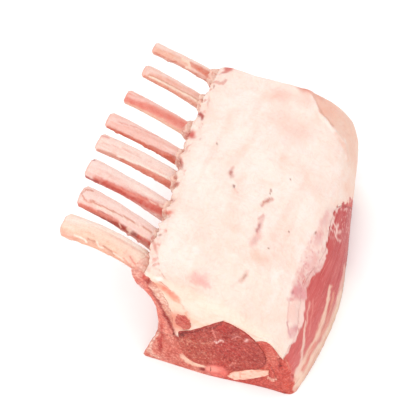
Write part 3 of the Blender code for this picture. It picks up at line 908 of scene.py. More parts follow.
# The third dab is a painted highlight on the pink lump under the eye.
BASE_DABS = (
    (217, 371.0, 12.4, 6.9, 15, (178, 54, 50), 0.9, 0.3),
    (217, 371.2, 11.4, 5.9, 15, (238, 124, 112), 0.98, 0.25),
    (213, 369.0, 6.6, 2.4, 12, (252, 168, 152), 0.85, 0.8),
    (223, 374.6, 4.5, 1.8, 12, (234, 116, 102), 0.6, 0.8),
    (202.6, 369.0, 3.1, 1.7, 12, (156, 28, 30), 0.9, 0.5),
)
EDGE_BITS = (
    (228.5, 69, 4.6, 3.2, -40, (212, 112, 106), 0.9, 0.5),
    (224, 73, 4.0, 1.2, -10, (214, 128, 120), 0.8, 0.7),
    (213.8, 85.5, 1.1, 2.0, 20, (190, 146, 134), 0.8, 0.6),
    (201.6, 116, 1.6, 4.2, -8, (176, 66, 64), 0.9, 0.6),
    (198.5, 115, 3.6, 1.3, -15, (198, 92, 86), 0.85, 0.7),
    (201.4, 139.6, 2.4, 2.0, 20, (156, 34, 34), 0.95, 0.5),
    (204.6, 142.8, 2.2, 1.0, 35, (206, 120, 112), 0.85, 0.7),
    (191.2, 135, 4.2, 3.4, -20, (214, 84, 74), 0.85, 0.7),
    (181.4, 163, 1.6, 5.4, -10, (198, 106, 92), 0.85, 0.7),
    (175.6, 185.2, 2.6, 2.0, -30, (196, 106, 88), 0.85, 0.7),
    (168.5, 212.5, 5.0, 2.0, -12, (222, 116, 96), 0.85, 0.7),
    (170.5, 191.6, 1.3, 1.1, 0, (204, 160, 148), 0.8, 0.7),
    (147.4, 242.6, 1.9, 2.6, 20, (160, 50, 46), 0.9, 0.6),
    (151.8, 237, 3.0, 2.0, 20, (214, 116, 106), 0.8, 0.7),
    (154.5, 246, 1.5, 8.0, -16, (226, 166, 154), 0.85, 0.7),
    (159.6, 235.6, 1.8, 0.9, -30, (190, 150, 140), 0.8, 0.7),
    (208.8, 101, 1.0, 5.0, 5, (226, 178, 166), 0.7, 0.8),
    (187.5, 148, 1.0, 6.0, 35, (222, 160, 148), 0.7, 0.8),
)


def face_paint(tone, p, uv, cut):
    """What the near cut shows beside and under the eye, the same on every piece it crosses."""
    near = cut * (p[:, 1] < FACE_DEEP)
    tone = brush(tone, uv, near, STRIP_LINES)
    tone = dab(tone, uv, near, STRIP_DABS)
    tone = brush(tone, uv, near, BASE_LINES)
    return dab(tone, uv, near, BASE_DABS)


FAT_FACE = (
    ([(154, 289), (163, 300), (173, 312), (185, 325)], 19.0, (248, 208, 187), 0.9, 0.35),
    ([(151, 285), (156, 282.5)], 3.0, (246, 190, 170), 0.7, 0.8),
    (
        [(154, 284.5), (160, 285.5), (167, 290.5), (172, 296), (178, 300)],
        (5.0, 6.5), (240, 162, 136), 0.9, 0.6,
    ),
    ([(163, 287), (170, 292.5), (175, 297)], 4.2, (232, 138, 116), 0.8, 0.8),
    ([(157, 292), (164, 297.5), (172, 304), (179, 311)], 5.0, (250, 214, 192), 0.8, 0.8),
    ([(158, 281), (163, 283.5), (168, 286.8), (171.5, 290.5)], 1.2, (196, 128, 108), 0.75, 0.7),
    ([(158.5, 303), (163, 304.6), (166.5, 306.4)], 1.5, (216, 118, 96), 0.8, 0.7),
    ([(162.5, 308), (167, 313), (171, 318)], 5.0, (233, 160, 130), 0.75, 0.8),
    ([(170, 309.5), (172.5, 313)], 1.8, (214, 138, 112), 0.7, 0.8),
    ([(178, 301), (184, 308.5), (190, 315)], 1.5, (232, 186, 166), 0.75, 0.8),
    ([(186, 313), (189.4, 320), (188.6, 328)], 2.0, (234, 160, 138), 0.8, 0.8),
    ([(175, 330.5), (183, 331), (190, 330.5)], 2.4, (252, 206, 186), 0.9, 0.7),
    ([(195, 322), (201, 326), (207, 325.5)], 3.6, (247, 203, 176), 0.75, 0.8),
    ([(186.5, 329), (187, 331.5)], 1.4, (150, 70, 56), 0.8, 0.7),
)


def fat_face(tone, p, uv, face):
    """The layered fat of the near cut, left of and above the eye, with the small muscle's soft surround."""
    tone = brush(tone, uv, face * (0.8 + 0.3 * granular(p, 50)), FAT_FACE)
    return lay(tone, spot(uv, 177.5, 321.5, 10.8, 8.2, 10, 0.5) * face, (230, 150, 127), 0.9)


def off_eye(p):
    """How far points lie outside the eye's edge at the nearer cut end."""
    near = eye_depth(0.0, p[:, 0], p[:, 2])
    return np.where(p[:, 1] < 0.5 * LENGTH, near, eye_depth(LENGTH, p[:, 0], p[:, 2]))


# Where fat gives way to bare red meat on the right side, from the top down
BORDER = [
    (360, 198.6), (351, 199.6), (345.5, 202.5), (340, 206), (335.4, 212), (333, 223), (328.6, 233),
    (326.4, 242), (326.8, 254), (324.8, 264), (319, 271), (313, 277), (308, 285), (305.5, 294), (304, 306),
    (303, 318), (300, 328), (297.6, 335), (293.5, 343), (288, 351),
]


def bare_red(p, uv):
    """1 where bare red meat shows on the right side, 0 where fat still covers it."""
    torn = 1.3 * fbm(p, 3.4, 81, 3, 0.6)
    torn += 5.0 * smooth(222.0, 202.0, uv[:, 1]) * noise(p * np.array([1.0, 0.35, 0.35]), 1.3, 85)
    return smooth(-0.7, 0.9, side_of(uv, BORDER) + torn)


MOTTLE_DABS = (
    (298, 291, 7.5, 4.6, 10, (230, 150, 153), 0.85, 0.7),
    (303, 296, 3.4, 5.0, 0, (234, 160, 162), 0.8, 0.7),
    (292, 291.6, 1.6, 1.8, 0, (190, 110, 116), 0.8, 0.8),
    (318, 240, 3.4, 6.0, 15, (236, 176, 174), 0.7, 0.8),
    (325, 219, 3.2, 8.0, 20, (240, 190, 186), 0.8, 0.8),
    (313, 262, 5.0, 8.0, 20, (238, 180, 176), 0.6, 0.8),
)


def mottled(tone, p, uv, mask):
    """Thin fat with lilac and pink showing through, beside the red strip."""
    mottle = smooth(-0.35, 0.45, fbm(p, 2.6, 45, 3, 0.7))
    crumb = smooth(-0.1, 0.7, fbm(p, 1.5, 51, 2, 0.8))
    tone = lay(tone, mask * (0.5 + 0.5 * mottle), (246, 204, 195), 0.9)
    tone = lay(tone, mask * mottle * crumb * smooth(215.0, 240.0, uv[:, 1]), (226, 160, 160), 0.75)
    lower = mask * smooth(255.0, 290.0, uv[:, 1])
    tone = lay(tone, lower * (0.4 + 0.6 * mottle), (232, 162, 160), 0.8)
    return dab(tone, uv, mask, MOTTLE_DABS)


def plain_parts(uv):
    """1 on the small parts of the near cut that show no grain."""
    lump = spot(uv, 217, 371.4, 11.3, 5.6, 15, 0.3)
    return np.clip(lump + stroke(uv, BASE_LINES[0][0], 4.0), 0.0, 1.0)


def granular(p, seed):
    """Coarse and fine crumbs of a sawn or cut face, from 0 to 1."""
    return smooth(-0.25, 0.75, noise(p, 1.7, seed) + 0.7 * noise(p, 0.9, seed + 1))


# The fat cap

# The ridge between the fat's top and the tan facet at its far right
RIDGE = [
    (300.6, 84.2), (311.6, 93), (314.5, 104), (320.4, 115), (331.4, 128.2), (344.6, 143.6), (348, 159),
]


def fat_body():
    """The fat's skin with a bulging, ragged rim by the ribs, and each point's share in that rim."""
    count, cols, steps = FAT_MESH
    ys = stations_along(count)
    points, quads, where = block(ys, *fat_sheets(ys, cols), steps)
    points = sunk_ends(points, where, count)
    edge_run = np.stack([np.zeros(len(points)), points[:, 1], np.zeros(len(points))], 1)
    ragged = fbm(edge_run, 7.0, 19, 3)
    bulge = (where["col"] == 0.0) * np.sin(math.pi * where["deep"])
    beside = smooth(0.09, 0.0, where["col"]) * (where["deep"] < 0.5)
    points[:, 0] -= (2.0 + 1.2 * ragged) * bulge + 1.3 * ragged * beside
    points[:, 2] += bulge
    return points, quads, where, bulge


def fat_relief(p, n, bulge):
    """Lumps, nicks and the facet's ridge on the skin, and shallow pits in the cut ends."""
    uv = photo_px(p)
    open_skin = smooth(-0.2, 0.4, n[:, 2]) + smooth(0.2, 0.7, n[:, 0])
    bumps = 0.35 * fbm(p, 14.0, 21, 3) + 0.12 * fbm(p, 3.2, 22, 2)
    cut = np.minimum(0.22 * fbm(p, 2.6, 23, 2) - 0.06, 0.0) * smooth(0.3, 3.0, off_eye(p))
    dents = -0.6 * spot(uv, 230.6, 173.3, 2.2, 5.0, 10, 0.7) - 0.6 * spot(uv, 233.5, 186.0, 1.6, 2.2, 0, 0.8)
    dents -= 0.55 * stroke(uv, [(261.7, 204), (267, 200), (272, 198.6)], 3.0, 0.9)
    dents -= 0.6 * stroke(uv, [(261, 223), (258, 232), (256, 239)], 4.5, 0.9)
    dents -= 0.5 * stroke(uv, [(240.3, 280.3), (247.1, 273.5)], 3.4, 0.9)
    ridge = stroke(uv, RIDGE, 3.0, 0.9)
    flat = np.abs(n[:, 1]) > 0.8
    out = np.where(flat, cut, bumps * np.clip(open_skin, 0.15, 1.0)) + dents + 0.7 * ridge
    out += 0.5 * noise(p, 2.0, 24) * bulge
    return out * (p[:, 2] > 0.6)


# A painted highlight along the ridge, painted shade just beside it, and tan marks on the facet.
FACET_HIGHLIGHT_SHADE_AND_MARKS = (
    (RIDGE, 2.2, (255, 238, 229), 0.9, 0.6),
    ([(308, 91.5), (314.2, 95), (317, 104), (323, 114.5), (333, 126)], 1.8, (226, 176, 158), 0.75, 0.9),
    ([(303, 86), (313, 91.5), (322, 98.5)], 4.6, (230, 176, 160), 0.7, 0.8),
    ([(336, 134), (345, 147), (350, 166)], 4.0, (240, 196, 178), 0.6, 0.9),
)
BLUSH_DABS = (
    (303.5, 87.5, 7, 3.8, 35, (226, 150, 132), 0.9, 0.8),
    (281, 95, 11, 8, 0, (243, 198, 184), 0.6, 0.8),
    (307, 101, 9, 7, 0, (243, 198, 184), 0.5, 0.8),
    (297, 134, 18, 10, 0, (243, 198, 184), 0.45, 0.8),
    (279, 118, 14, 9, 0, (243, 198, 184), 0.3, 0.8),
)
# A painted shadow along the left edge of the pale oval, and a lilac line below it.
THIN_FAT_AND_SHADOW_LINES = (
    ([(289.4, 301), (287.8, 313), (288.6, 322)], 1.4, (236, 186, 180), 0.7, 0.8),
    ([(287.6, 322), (288.2, 330), (291.6, 338)], 1.8, (206, 140, 144), 0.8, 0.8),
)
THIN_DABS = (
    (293.6, 332, 4.8, 7.0, 15, (236, 178, 176), 0.9, 0.6),
    (295.6, 328.5, 2.4, 3.0, 0, (222, 152, 156), 0.7, 0.8),
)
NICK_LINES = (
    ([(231.5, 168), (230, 173), (231.2, 177)], 3.4, (226, 180, 170), 0.85, 0.9),
    ([(230.8, 171), (230.2, 174.5)], 1.7, (196, 126, 118), 0.8, 0.8),
    ([(234, 187.5), (238, 193)], 2.6, (240, 202, 190), 0.7, 0.9),
    ([(262, 204.5), (266, 200.5), (272, 199.4)], 3.0, (222, 168, 156), 0.85, 0.9),
    ([(264, 201.4), (269, 199.8)], 1.4, (206, 142, 128), 0.7, 0.8),
    ([(263, 217), (260, 226), (257.5, 236), (253, 242)], (4.0, 7.0), (236, 190, 182), 0.8, 0.9),
    ([(259.4, 225), (257.6, 231.5)], 2.4, (206, 140, 136), 0.8, 0.8),
    ([(262.4, 215), (258.6, 219)], 2.2, (228, 168, 158), 0.7, 0.9),
    ([(240, 281), (244, 277.5), (247.4, 273)], 4.2, (222, 178, 162), 0.8, 0.9),
    ([(243.6, 278), (246.2, 274.8)], 1.8, (196, 142, 124), 0.75, 0.9),
    ([(231, 286.5), (240, 281)], 2.0, (244, 212, 200), 0.7, 0.9),
)
NICK_DABS = (
    (233.6, 186, 1.3, 1.5, 0, (148, 96, 94), 0.9, 0.6),
    (256, 255, 4.4, 5.4, 0, (238, 208, 190), 0.6, 0.9),
    (263, 259, 6.0, 3.0, -10, (240, 204, 188), 0.5, 0.9),
)
PATCH_DABS = (
    (197, 277.5, 6.6, 4.6, -10, (229, 142, 146), 1.0, 0.8),
    (204, 281.5, 6.6, 5.0, 35, (238, 160, 158), 0.85, 0.8),
    (207.5, 285.5, 3.6, 3.4, 40, (239, 166, 164), 0.8, 0.8),
    (199, 282.5, 6.0, 2.2, 28, (238, 160, 156), 0.8, 0.8),
    (201, 301, 6.0, 8.0, 0, (250, 213, 204), 0.8, 0.9),
)
PATCH_LINES = (
    ([(190, 281), (197, 283.6)], 1.6, (226, 176, 172), 0.8, 0.8),
    ([(189.5, 286), (197, 289)], 1.6, (222, 182, 172), 0.8, 0.8),
    ([(188, 294.6), (195, 295.8), (200, 298), (204.5, 300.2)], 2.2, (222, 166, 160), 0.85, 0.7),
    ([(192, 294.8), (195, 296)], 1.8, (208, 142, 136), 0.8, 0.7),
    ([(191, 284.4), (198, 286.6), (203, 289)], 1.5, (254, 230, 220), 0.85, 0.8),
    ([(190, 291), (198, 293)], 1.4, (252, 224, 214), 0.8, 0.8),
)
TURN_LINES = (
    ([(150, 273), (157, 276), (165, 282)], 4.0, (243, 186, 176), 0.75, 0.8),
    ([(153.5, 267), (159, 271.5)], 2.2, (206, 178, 166), 0.8, 0.8),
    ([(162, 274.5), (168, 281)], 1.8, (212, 182, 170), 0.8, 0.8),
    ([(168, 283), (173, 287)], 1.4, (236, 204, 192), 0.7, 0.8),
    ([(144, 264), (146, 270), (149, 265)], 2.2, (226, 186, 168), 0.7, 0.8),
    ([(149, 271), (149.5, 278)], 3.6, (228, 118, 100), 0.8, 0.8),
)
RIM_LINES = (
    ([(224, 321.5), (236, 328), (247, 336), (258, 346.5)], 2.6, (252, 206, 190), 0.9, 0.7),
    ([(247, 335), (252, 339.5), (256, 343.5)], 1.4, (206, 150, 134), 0.75, 0.7),
    ([(255, 347.5), (262, 350), (268, 352.5), (276, 356)], 1.8, (154, 104, 88), 0.85, 0.7),
    ([(270, 347), (273, 351), (277, 354)], 1.4, (140, 112, 98), 0.75, 0.7),
    ([(262, 347), (268, 349.5)], 2.4, (255, 238, 228), 0.8, 0.8),
)
PIN_MARKS = (
    (216.6, 143.2, 0.9), (290.7, 178.8, 1.1), (271, 190, 1.0), (270, 193, 0.9),
    (268.7, 248.5, 0.9), (315, 233.8, 1.2), (289, 232, 1.0),
)
FAT_BORDER = [(331, 204), (323, 213), (317, 230), (306, 248), (300, 262), (296, 276), (290.5, 292)]
EYE_UPPER_EDGE = [
    (180, 333.5), (190, 332.6), (200, 330.5), (207, 328), (214, 327.6), (218, 324.5), (223, 321),
]


def fat_tones(p, n, rim_part, rim_run):
    """Cream fat with pink patches, the tan facet, the red strip's torn border and the layered near cut, with
    painted shade and painted highlights.
    """
    uv = wobbled(p, 1.3, 4.0, 41)
    tone = coat_of(len(p), (254, 237, 227))
    tone = lay(tone, smooth(-0.2, 0.8, fbm(p, 42.0, 43, 2)), (253, 228, 214), 0.55)
    tone = lay(tone, smooth(0.0, 0.9, fbm(p, 9.0, 44, 3)), (255, 243, 235), 0.6)
    tone = lay(tone, smooth(0.1, 0.9, fbm(p, (6.0, 55.0, 6.0), 54, 4)), (251, 222, 209), 0.45)
    # the facet's tan tone, its own colour together with painted shade on this side, which turns away from the
    # top
    facet = smooth(0.0, 4.0, side_of(uv, RIDGE)) * smooth(120.0, 150.0, p[:, 1])
    tone = lay(tone, facet, (243, 204, 186), 0.95)
    tone = lay(tone, facet * spot(uv, 326, 106, 12, 9, 35), (240, 190, 172), 0.6)
    # painted highlight on the ridge, painted shade beside it, and tan marks
    tone = brush(tone, uv, 1.0, FACET_HIGHLIGHT_SHADE_AND_MARKS)
    tone = dab(tone, uv, 1.0, BLUSH_DABS)
    # painted shade on the far right side, where the skin faces sideways
    right = smooth(0.75, 1.0, n[:, 0]) * smooth(90.0, 130.0, p[:, 1])
    tone = lay(tone, right, (249, 212, 193), 0.8)
    # mottled pink where the fat thins out beside the red strip
    side = smooth(-2.5, 2.5, side_of(uv, FAT_BORDER)) * (uv[:, 1] < 301) * smooth(0.25, 0.5, n[:, 0])
    side *= smooth(203.0, 212.0, uv[:, 1])
    tone = mottled(tone, p, uv, side)
    tone = lay(tone, spot(uv, 296.3, 313, 8.0, 14.0, 3, 0.2), (250, 214, 204), 0.95)
    # painted shadow along the pale oval's left edge, with lilac marks below
    tone = brush(tone, uv, 1.0, THIN_FAT_AND_SHADOW_LINES)
    tone = dab(tone, uv, 1.0, THIN_DABS)
    red = bare_red(p, uv) * smooth(0.25, 0.5, n[:, 0]) * (uv[:, 1] > 190.0) * (np.abs(n[:, 1]) < 0.6)
    tone = lay(tone, red, (202, 70, 68), 0.95)
    tone = lay(tone, red * smooth(0.1, 0.8, fbm(p, (4.0, 12.0, 4.0), 86, 3)), (226, 124, 116), 0.6)
    # nicks and small marks
    tone = brush(tone, uv, 1.0, NICK_LINES)
    tone = dab(tone, uv, 1.0, NICK_DABS)
    for u, v, radius in PIN_MARKS:
        tone = lay(tone, spot(uv, u, v, radius, radius), (168, 112, 98), 0.85)
    # pink patch near the cut, in short strokes
    soft_patch = 0.75 + 0.35 * fbm(p, 3.0, 46, 2)
    tone = lay(tone, spot(uv, 201, 285, 11, 12, 20, 0.9) * soft_patch, (248, 208, 199), 0.75)
    torn = uv + 2.2 * np.stack([fbm(p, 2.2, 52, 2, 0.7), fbm(p, 2.2, 53, 2, 0.7)], 1)
    tone = dab(tone, torn, soft_patch, PATCH_DABS)
    tone = brush(tone, uv, 1.0, PATCH_LINES)
    # painted shade on the skin that slopes down toward the near cut
    tone = lay(tone, smooth(0.05, 0.6, -n[:, 1]) * smooth(45.0, 10.0, p[:, 1]), (250, 219, 205), 0.75)
    # where the fat turns over to the near cut by the ribs
    near = (p[:, 1] < 26.0) * 1.0
    tone = brush(tone, uv, near, TURN_LINES)
    cut = cut_part(n)
    face = cut * (p[:, 1] < 7.0) * (uv[:, 0] < 250)
    tone = lay(tone, smooth(0.5, 0.8, np.abs(n[:, 1])) * (p[:, 1] < 8.0), (251, 224, 207), 0.8)
    tone = fat_face(tone, p, uv, face)
    # a painted highlight on the turn of the fat by the ribs
    tone = lay(tone, spot(uv, 158.4, 278.8, 4.0, 2.0, 14, 0.6) * near, (255, 249, 244), 0.95)
    tone = face_paint(tone, p, uv, cut)
    # the thin dark line and the pale film along the eye's upper edge
    tone = lay(tone, stroke(uv, EYE_UPPER_EDGE, 1.6) * face, (140, 44, 38), 0.9)
    tone = brush(tone, uv, cut * (p[:, 1] < FACE_DEEP), RIM_LINES)
    # reddish scraps along the rib edge
    edge_zone = np.clip(rim_part + smooth(0.05, 0.0, rim_run), 0.0, 1.0)
    scraps = smooth(0.25, 0.8, fbm(p, 3.6, 47, 3)) * rim_part
    tone = lay(tone, edge_zone, (252, 228, 216), 0.7)
    tone = lay(tone, scraps, (222, 146, 134), 0.6)
    tone = dab(tone, uv, edge_zone, EDGE_BITS)
    far_cut = (p[:, 1] > LENGTH - 2.0) * smooth(0.3, 0.8, fbm(p, 8.0, 49, 3))
    tone = lay(tone, far_cut, (244, 196, 178), 0.6)
    grain = np.clip(0.25 + 0.6 * cut + 0.5 * rim_part + 0.5 * side, 0.0, 1.0)
    return tone, grain


def fat_cap():
    """The fat cap, from its relief to its tones."""
    points, quads, where, bulge = fat_body()
    points, quads, _, n = shaped(points, quads, None, lambda p, n: fat_relief(p, n, bulge))
    rim_part = (where["col"] < 0.02) * 1.0
    rim_run = where["col"] + 10.0 * (where["deep"] > 0.5)
    tone, grain = fat_tones(points, n, rim_part, rim_run)
    piece("fat_cap_skin", lean(points), quads, None, tone, grain, fat_skin, ["fat_cap"])


fat_cap()


# The side meat
def side_sheets(ys, cols):
    """The side meat's upper face under the eye and the fat, and its outer face down to the table."""
    upper, lower = [], []
    for y in ys:
        line = outer_line(y)
        share = fat_share(y, line)
        layer, stop = layer_line(y)
        arc_all = eye_at(y, np.linspace(-2.2, stop, 160), -0.1)
        lows = arc_all[:, 0] - (FEATHER_START + 0.15)
        first = int(np.argmax(lows > 0.0))
        arc = arc_all[first:]
        deep = layer - normals(layer) * 0.4
        bare, out, _ = skin_at(y, np.linspace(min(share, 0.985), 1.0, 60), *SIDE_ROUND)
        bare = bare - out * (BARE_INSET * smooth(0.0, 1.5, bare[:, 1]))[:, None]
        bare[-1, 1] = 0.0
        upper.append(resampled(np.concatenate([arc, deep[1:-1], bare[:1]]), cols))
        step_in, step_out, step_top = FEATHER_START + 0.15, FEATHER_END + 0.15, FEATHER_TOP + 0.1
        foot = np.array([[step_in, step_top], [step_out, step_top], [step_out, 0.0]])
        base = np.linspace(foot[-1], bare[-1], 12)[1:-1]
        lower.append(resampled(np.concatenate([arc[:1], foot, base, bare[::-1]]), cols))
    return np.array(upper), np.array(lower)


def side_relief(p, n):
    """Long strands on the outer side, grains in the cut ends and one crack."""
    uv = photo_px(p)
    cut = np.abs(n[:, 1]) > 0.6
    grains = 0.45 * fbm(p, 3.0, 61, 3) + 0.3 * noise(p, 1.2, 62)
    runs = 0.35 * fbm(p, (6.0, 30.0, 6.0), 63, 3) + 0.12 * fbm(p, (1.8, 12.0, 1.8), 64, 2)
    cracks = stroke(uv, [(292.5, 375), (297, 384)], 2.4, 0.9)
    grains = np.minimum(grains, 0.0) * smooth(0.3, 2.5, off_eye(p))
    out = np.where(cut, grains - 0.8 * cracks * (p[:, 1] < 3.0), runs)
    return out * smooth(0.2, 2.0, p[:, 2])


SIDE_LINES = (
    ([(344.8, 266), (342, 282), (337.6, 300), (332, 318)], (1.8, 3.2), (240, 178, 162), 0.85, 0.8),
    (
        [(330.5, 286), (327.5, 303), (323.5, 318), (318.5, 334), (311, 349), (303, 364), (297, 376)],
        (2.0, 6.0), (248, 206, 182), 0.92, 0.7,
    ),
    ([(334, 292), (331, 308), (326.5, 324), (321.5, 336)], (2.0, 4.0), (234, 154, 130), 0.75, 0.8),
    (
        [(341, 292), (337, 310), (331, 326), (323, 342), (313, 357), (303, 373), (297, 384)],
        (3.4, 6.5), (251, 217, 193), 0.92, 0.7,
    ),
    ([(347.5, 262), (345, 280), (341, 300)], 2.0, (246, 200, 184), 0.8, 0.8),
    ([(315.5, 343), (310.5, 353), (306, 364), (303, 371)], (2.6, 4.0), (226, 116, 104), 0.85, 0.7),
    ([(318, 350), (313.5, 359)], 2.0, (240, 150, 136), 0.8, 0.8),
    ([(309.4, 302), (307, 320), (304, 336), (301.5, 350)], 1.3, (238, 170, 158), 0.85, 0.8),
    ([(305, 322), (303.4, 345), (301, 362), (297, 374)], (1.2, 3.4), (247, 206, 190), 0.9, 0.8),
    ([(313, 300), (311.4, 318), (308, 336)], 1.2, (230, 138, 128), 0.7, 0.8),
    ([(333.5, 222), (337, 228), (335.5, 236), (340, 241)], 1.5, (250, 206, 196), 0.9, 0.7),
    ([(331, 229), (335, 233), (341, 232)], 1.3, (250, 206, 196), 0.85, 0.7),
    ([(338, 224), (336.5, 231)], 1.3, (250, 210, 200), 0.8, 0.7),
    ([(323, 334), (320.6, 338), (323, 341.5), (326, 338), (324.4, 334.6)], 1.5, (222, 122, 108), 0.85, 0.6),
)
CUT_LINES = (
    ([(249, 379.5), (255, 377.2), (262, 378.4)], 1.5, (176, 54, 52), 0.8, 0.7),
    ([(268, 377.6), (272, 380), (275, 379.6)], 2.2, (251, 206, 184), 0.95, 0.6),
    ([(292, 374.5), (294, 379), (296.5, 384)], 2.2, (170, 40, 36), 0.85, 0.8),
    ([(285.5, 360.5), (290, 367), (293.5, 373)], 1.6, (240, 160, 142), 0.7, 0.8),
    ([(266, 358), (267, 366), (264, 371)], 1.6, (236, 140, 122), 0.6, 0.8),
)
CUT_DABS = (
    (271, 357, 7.0, 5.0, 25, (230, 130, 110), 0.7, 0.8),
    (284, 372, 8.0, 12.0, 0, (221, 92, 78), 0.6, 0.8),
    (279.2, 366.8, 1.3, 1.8, 0, (160, 34, 30), 0.85, 0.8),
    (258, 383, 9.0, 4.0, 18, (208, 84, 76), 0.6, 0.8),
    (290, 386, 6.0, 4.0, 0, (226, 92, 70), 0.7, 0.8),
    (297.6, 380, 2.4, 1.8, 0, (251, 210, 186), 0.9, 0.6),
)


def side_tones(p, n):
    """Red muscle with pale streaks, covered by fat toward its upper edge and grainy where it is cut."""
    uv = wobbled(p, 0.9, 3.5, 71)
    tone = coat_of(len(p), (198, 60, 61))
    low = smooth(95.0, 20.0, p[:, 1])
    tone = lay(tone, low, (219, 108, 104), 0.85)
    tone = lay(tone, smooth(0.0, 0.8, fbm(p, (8.0, 40.0, 8.0), 73, 3)), (224, 116, 110), 0.35)
    tone = lay(tone, smooth(0.1, 0.8, fbm(p, (5.0, 14.0, 5.0), 77, 3)), (198, 68, 68), 0.35)
    skin = (n[:, 0] > 0.2) * smooth(0.75, 0.5, np.abs(n[:, 1]))
    red = bare_red(p, uv)
    specks = smooth(0.3, 0.8, fbm(p, 2.0, 79, 2, 0.8)) * smooth(246.0, 226.0, uv[:, 1]) * skin
    tone = lay(tone, specks * red, (248, 204, 194), 0.6)
    tone = brush(tone, uv, skin, SIDE_LINES)
    pale = (1.0 - red) * skin * (n[:, 0] > 0.1)
    tone = lay(tone, pale, (250, 214, 204))
    # painted shade on the far part of the pale side, the same as on the fat's right side
    tone = lay(tone, pale * smooth(120.0, 150.0, p[:, 1]), (248, 209, 186))
    tone = mottled(tone, p, uv, pale * smooth(200.0, 210.0, uv[:, 1]) * smooth(304.0, 298.0, uv[:, 1]))
    right_rim = skin * smooth(262.0, 285.0, uv[:, 1]) * smooth(16.0, 5.0, p[:, 2])
    tone = lay(tone, right_rim * (0.75 + 0.4 * fbm(p, 6.0, 70, 2)), (250, 214, 190), 0.85)
    # the unseen lower side: the same pale streaks run on along the muscle
    angle = np.arctan2(p[:, 2], p[:, 0] - 55.0)
    band = noise(np.stack([angle * 14.0, p[:, 1] / 26.0, np.zeros(len(p))], 1), 1.0, 74)
    hidden = smooth(0.0, 12.0, p[:, 0] - 60.0) * smooth(34.0, 22.0, p[:, 2]) * (np.abs(n[:, 1]) < 0.6)
    hidden = hidden * smooth(70.0, 100.0, p[:, 1])
    tone = lay(tone, smooth(0.15, 0.6, band) * hidden, (242, 196, 178), 0.75)
    cut = cut_part(n)
    crumbs = granular(p, 75)
    tone = lay(tone, cut, (216, 94, 80))
    tone = lay(tone, cut * crumbs, (231, 128, 108), 0.55)
    tone = lay(tone, cut * smooth(0.2, 0.9, fbm(p, 4.0, 76, 3)), (196, 66, 60), 0.55)
    near = cut * (p[:, 1] < FACE_DEEP)
    tone = dab(tone, uv, near, CUT_DABS)
    tone = brush(tone, uv, near, CUT_LINES)
    tone = face_paint(tone, p, uv, cut)
    tone = lay(tone, near * stroke(uv, [(278, 356.5), (283, 356), (289, 350)], 2.4), (238, 168, 152), 0.7)
    grain = np.clip(0.1 + 0.9 * cut, 0.0, 1.0) * (1.0 - 0.85 * plain_parts(uv))
    return tone, grain


layer_piece(
    "side_muscle", side_sheets, SIDE_MESH, side_relief, side_tones, side_flesh, "side_meat",
    sunk=True,
)


# The backbone
def chine_sheets(ys, cols):
    """The backbone's upper face under the eye, and its sawn inner side and base."""
    upper, lower = [], []
    for y in ys:
        waist = BONE_WAIST * math.cos(2.0 * math.pi * (y - BONE_FIRST) / BONE_PITCH)
        arc = eye_at(y, np.linspace(math.pi, math.pi + 2.0, 160), -0.1)
        arc_up = eye_at(y, np.linspace(math.pi, 2.2, 60), -0.1)
        above = arc_up[arc_up[:, 1] < SEAM_TOP[1]][::-1]
        below = arc[arc[:, 0] < FEATHER_START]
        step_out = CORNER_OUT * (1.0 - float(smooth(0.0, CORNER_OUT_REACH, y)))
        corner = np.array([6.6 + 0.4 * waist, SEAM_TOP[1] - 1.2])
        shelf = np.array([[SEAM_TOP[0] - 4.0, SEAM_TOP[1]], [SEAM_TOP[0] + 2.0, SEAM_TOP[1]]])
        feather = [[FEATHER_START, FEATHER_TOP], [FEATHER_END, FEATHER_TOP], [FEATHER_END, FEATHER_TOP * 0.5]]
        upper.append(resampled(np.concatenate([corner[None], shelf, above, below, feather]), cols))
        inner = [
            [5.6 + waist, 19.0],
            [3.6 + waist - 0.6 * step_out, 11.0],
            [1.6 + 0.7 * waist - step_out, 4.0],
            [0.5 - step_out + 0.35 * waist, 1.6],
            [1.4 - step_out, 0.0],
        ]
        base = np.linspace([4.0 - step_out, 0.0], [FEATHER_END, 0.0], 12)
        lower.append(resampled(np.concatenate([corner[None], inner, base]), cols))
    return np.array(upper), np.array(lower)


def disc_off(p):
    """How far points lie along the rack from the middle of the nearest disc between two bones."""
    return np.mod(p[:, 1] - BONE_FIRST + BONE_PITCH / 2, BONE_PITCH) - BONE_PITCH / 2


def chine_relief(p, n):
    """Grains in the cut ends, and uneven bones parted by low discs on the inner side."""
    cut = np.abs(n[:, 1]) > 0.6
    grains = (0.4 * fbm(p, 2.6, 81, 3) + 0.25 * noise(p, 1.1, 82)) * smooth(0.3, 2.5, off_eye(p))
    inner = 0.45 * fbm(p, 6.0, 83, 3)
    disc = np.exp(-(disc_off(p) / 1.6) ** 2)
    out = np.where(cut, grains, inner + 0.5 * disc * (n[:, 0] < -0.3))
    return out * smooth(0.2, 2.0, p[:, 2])


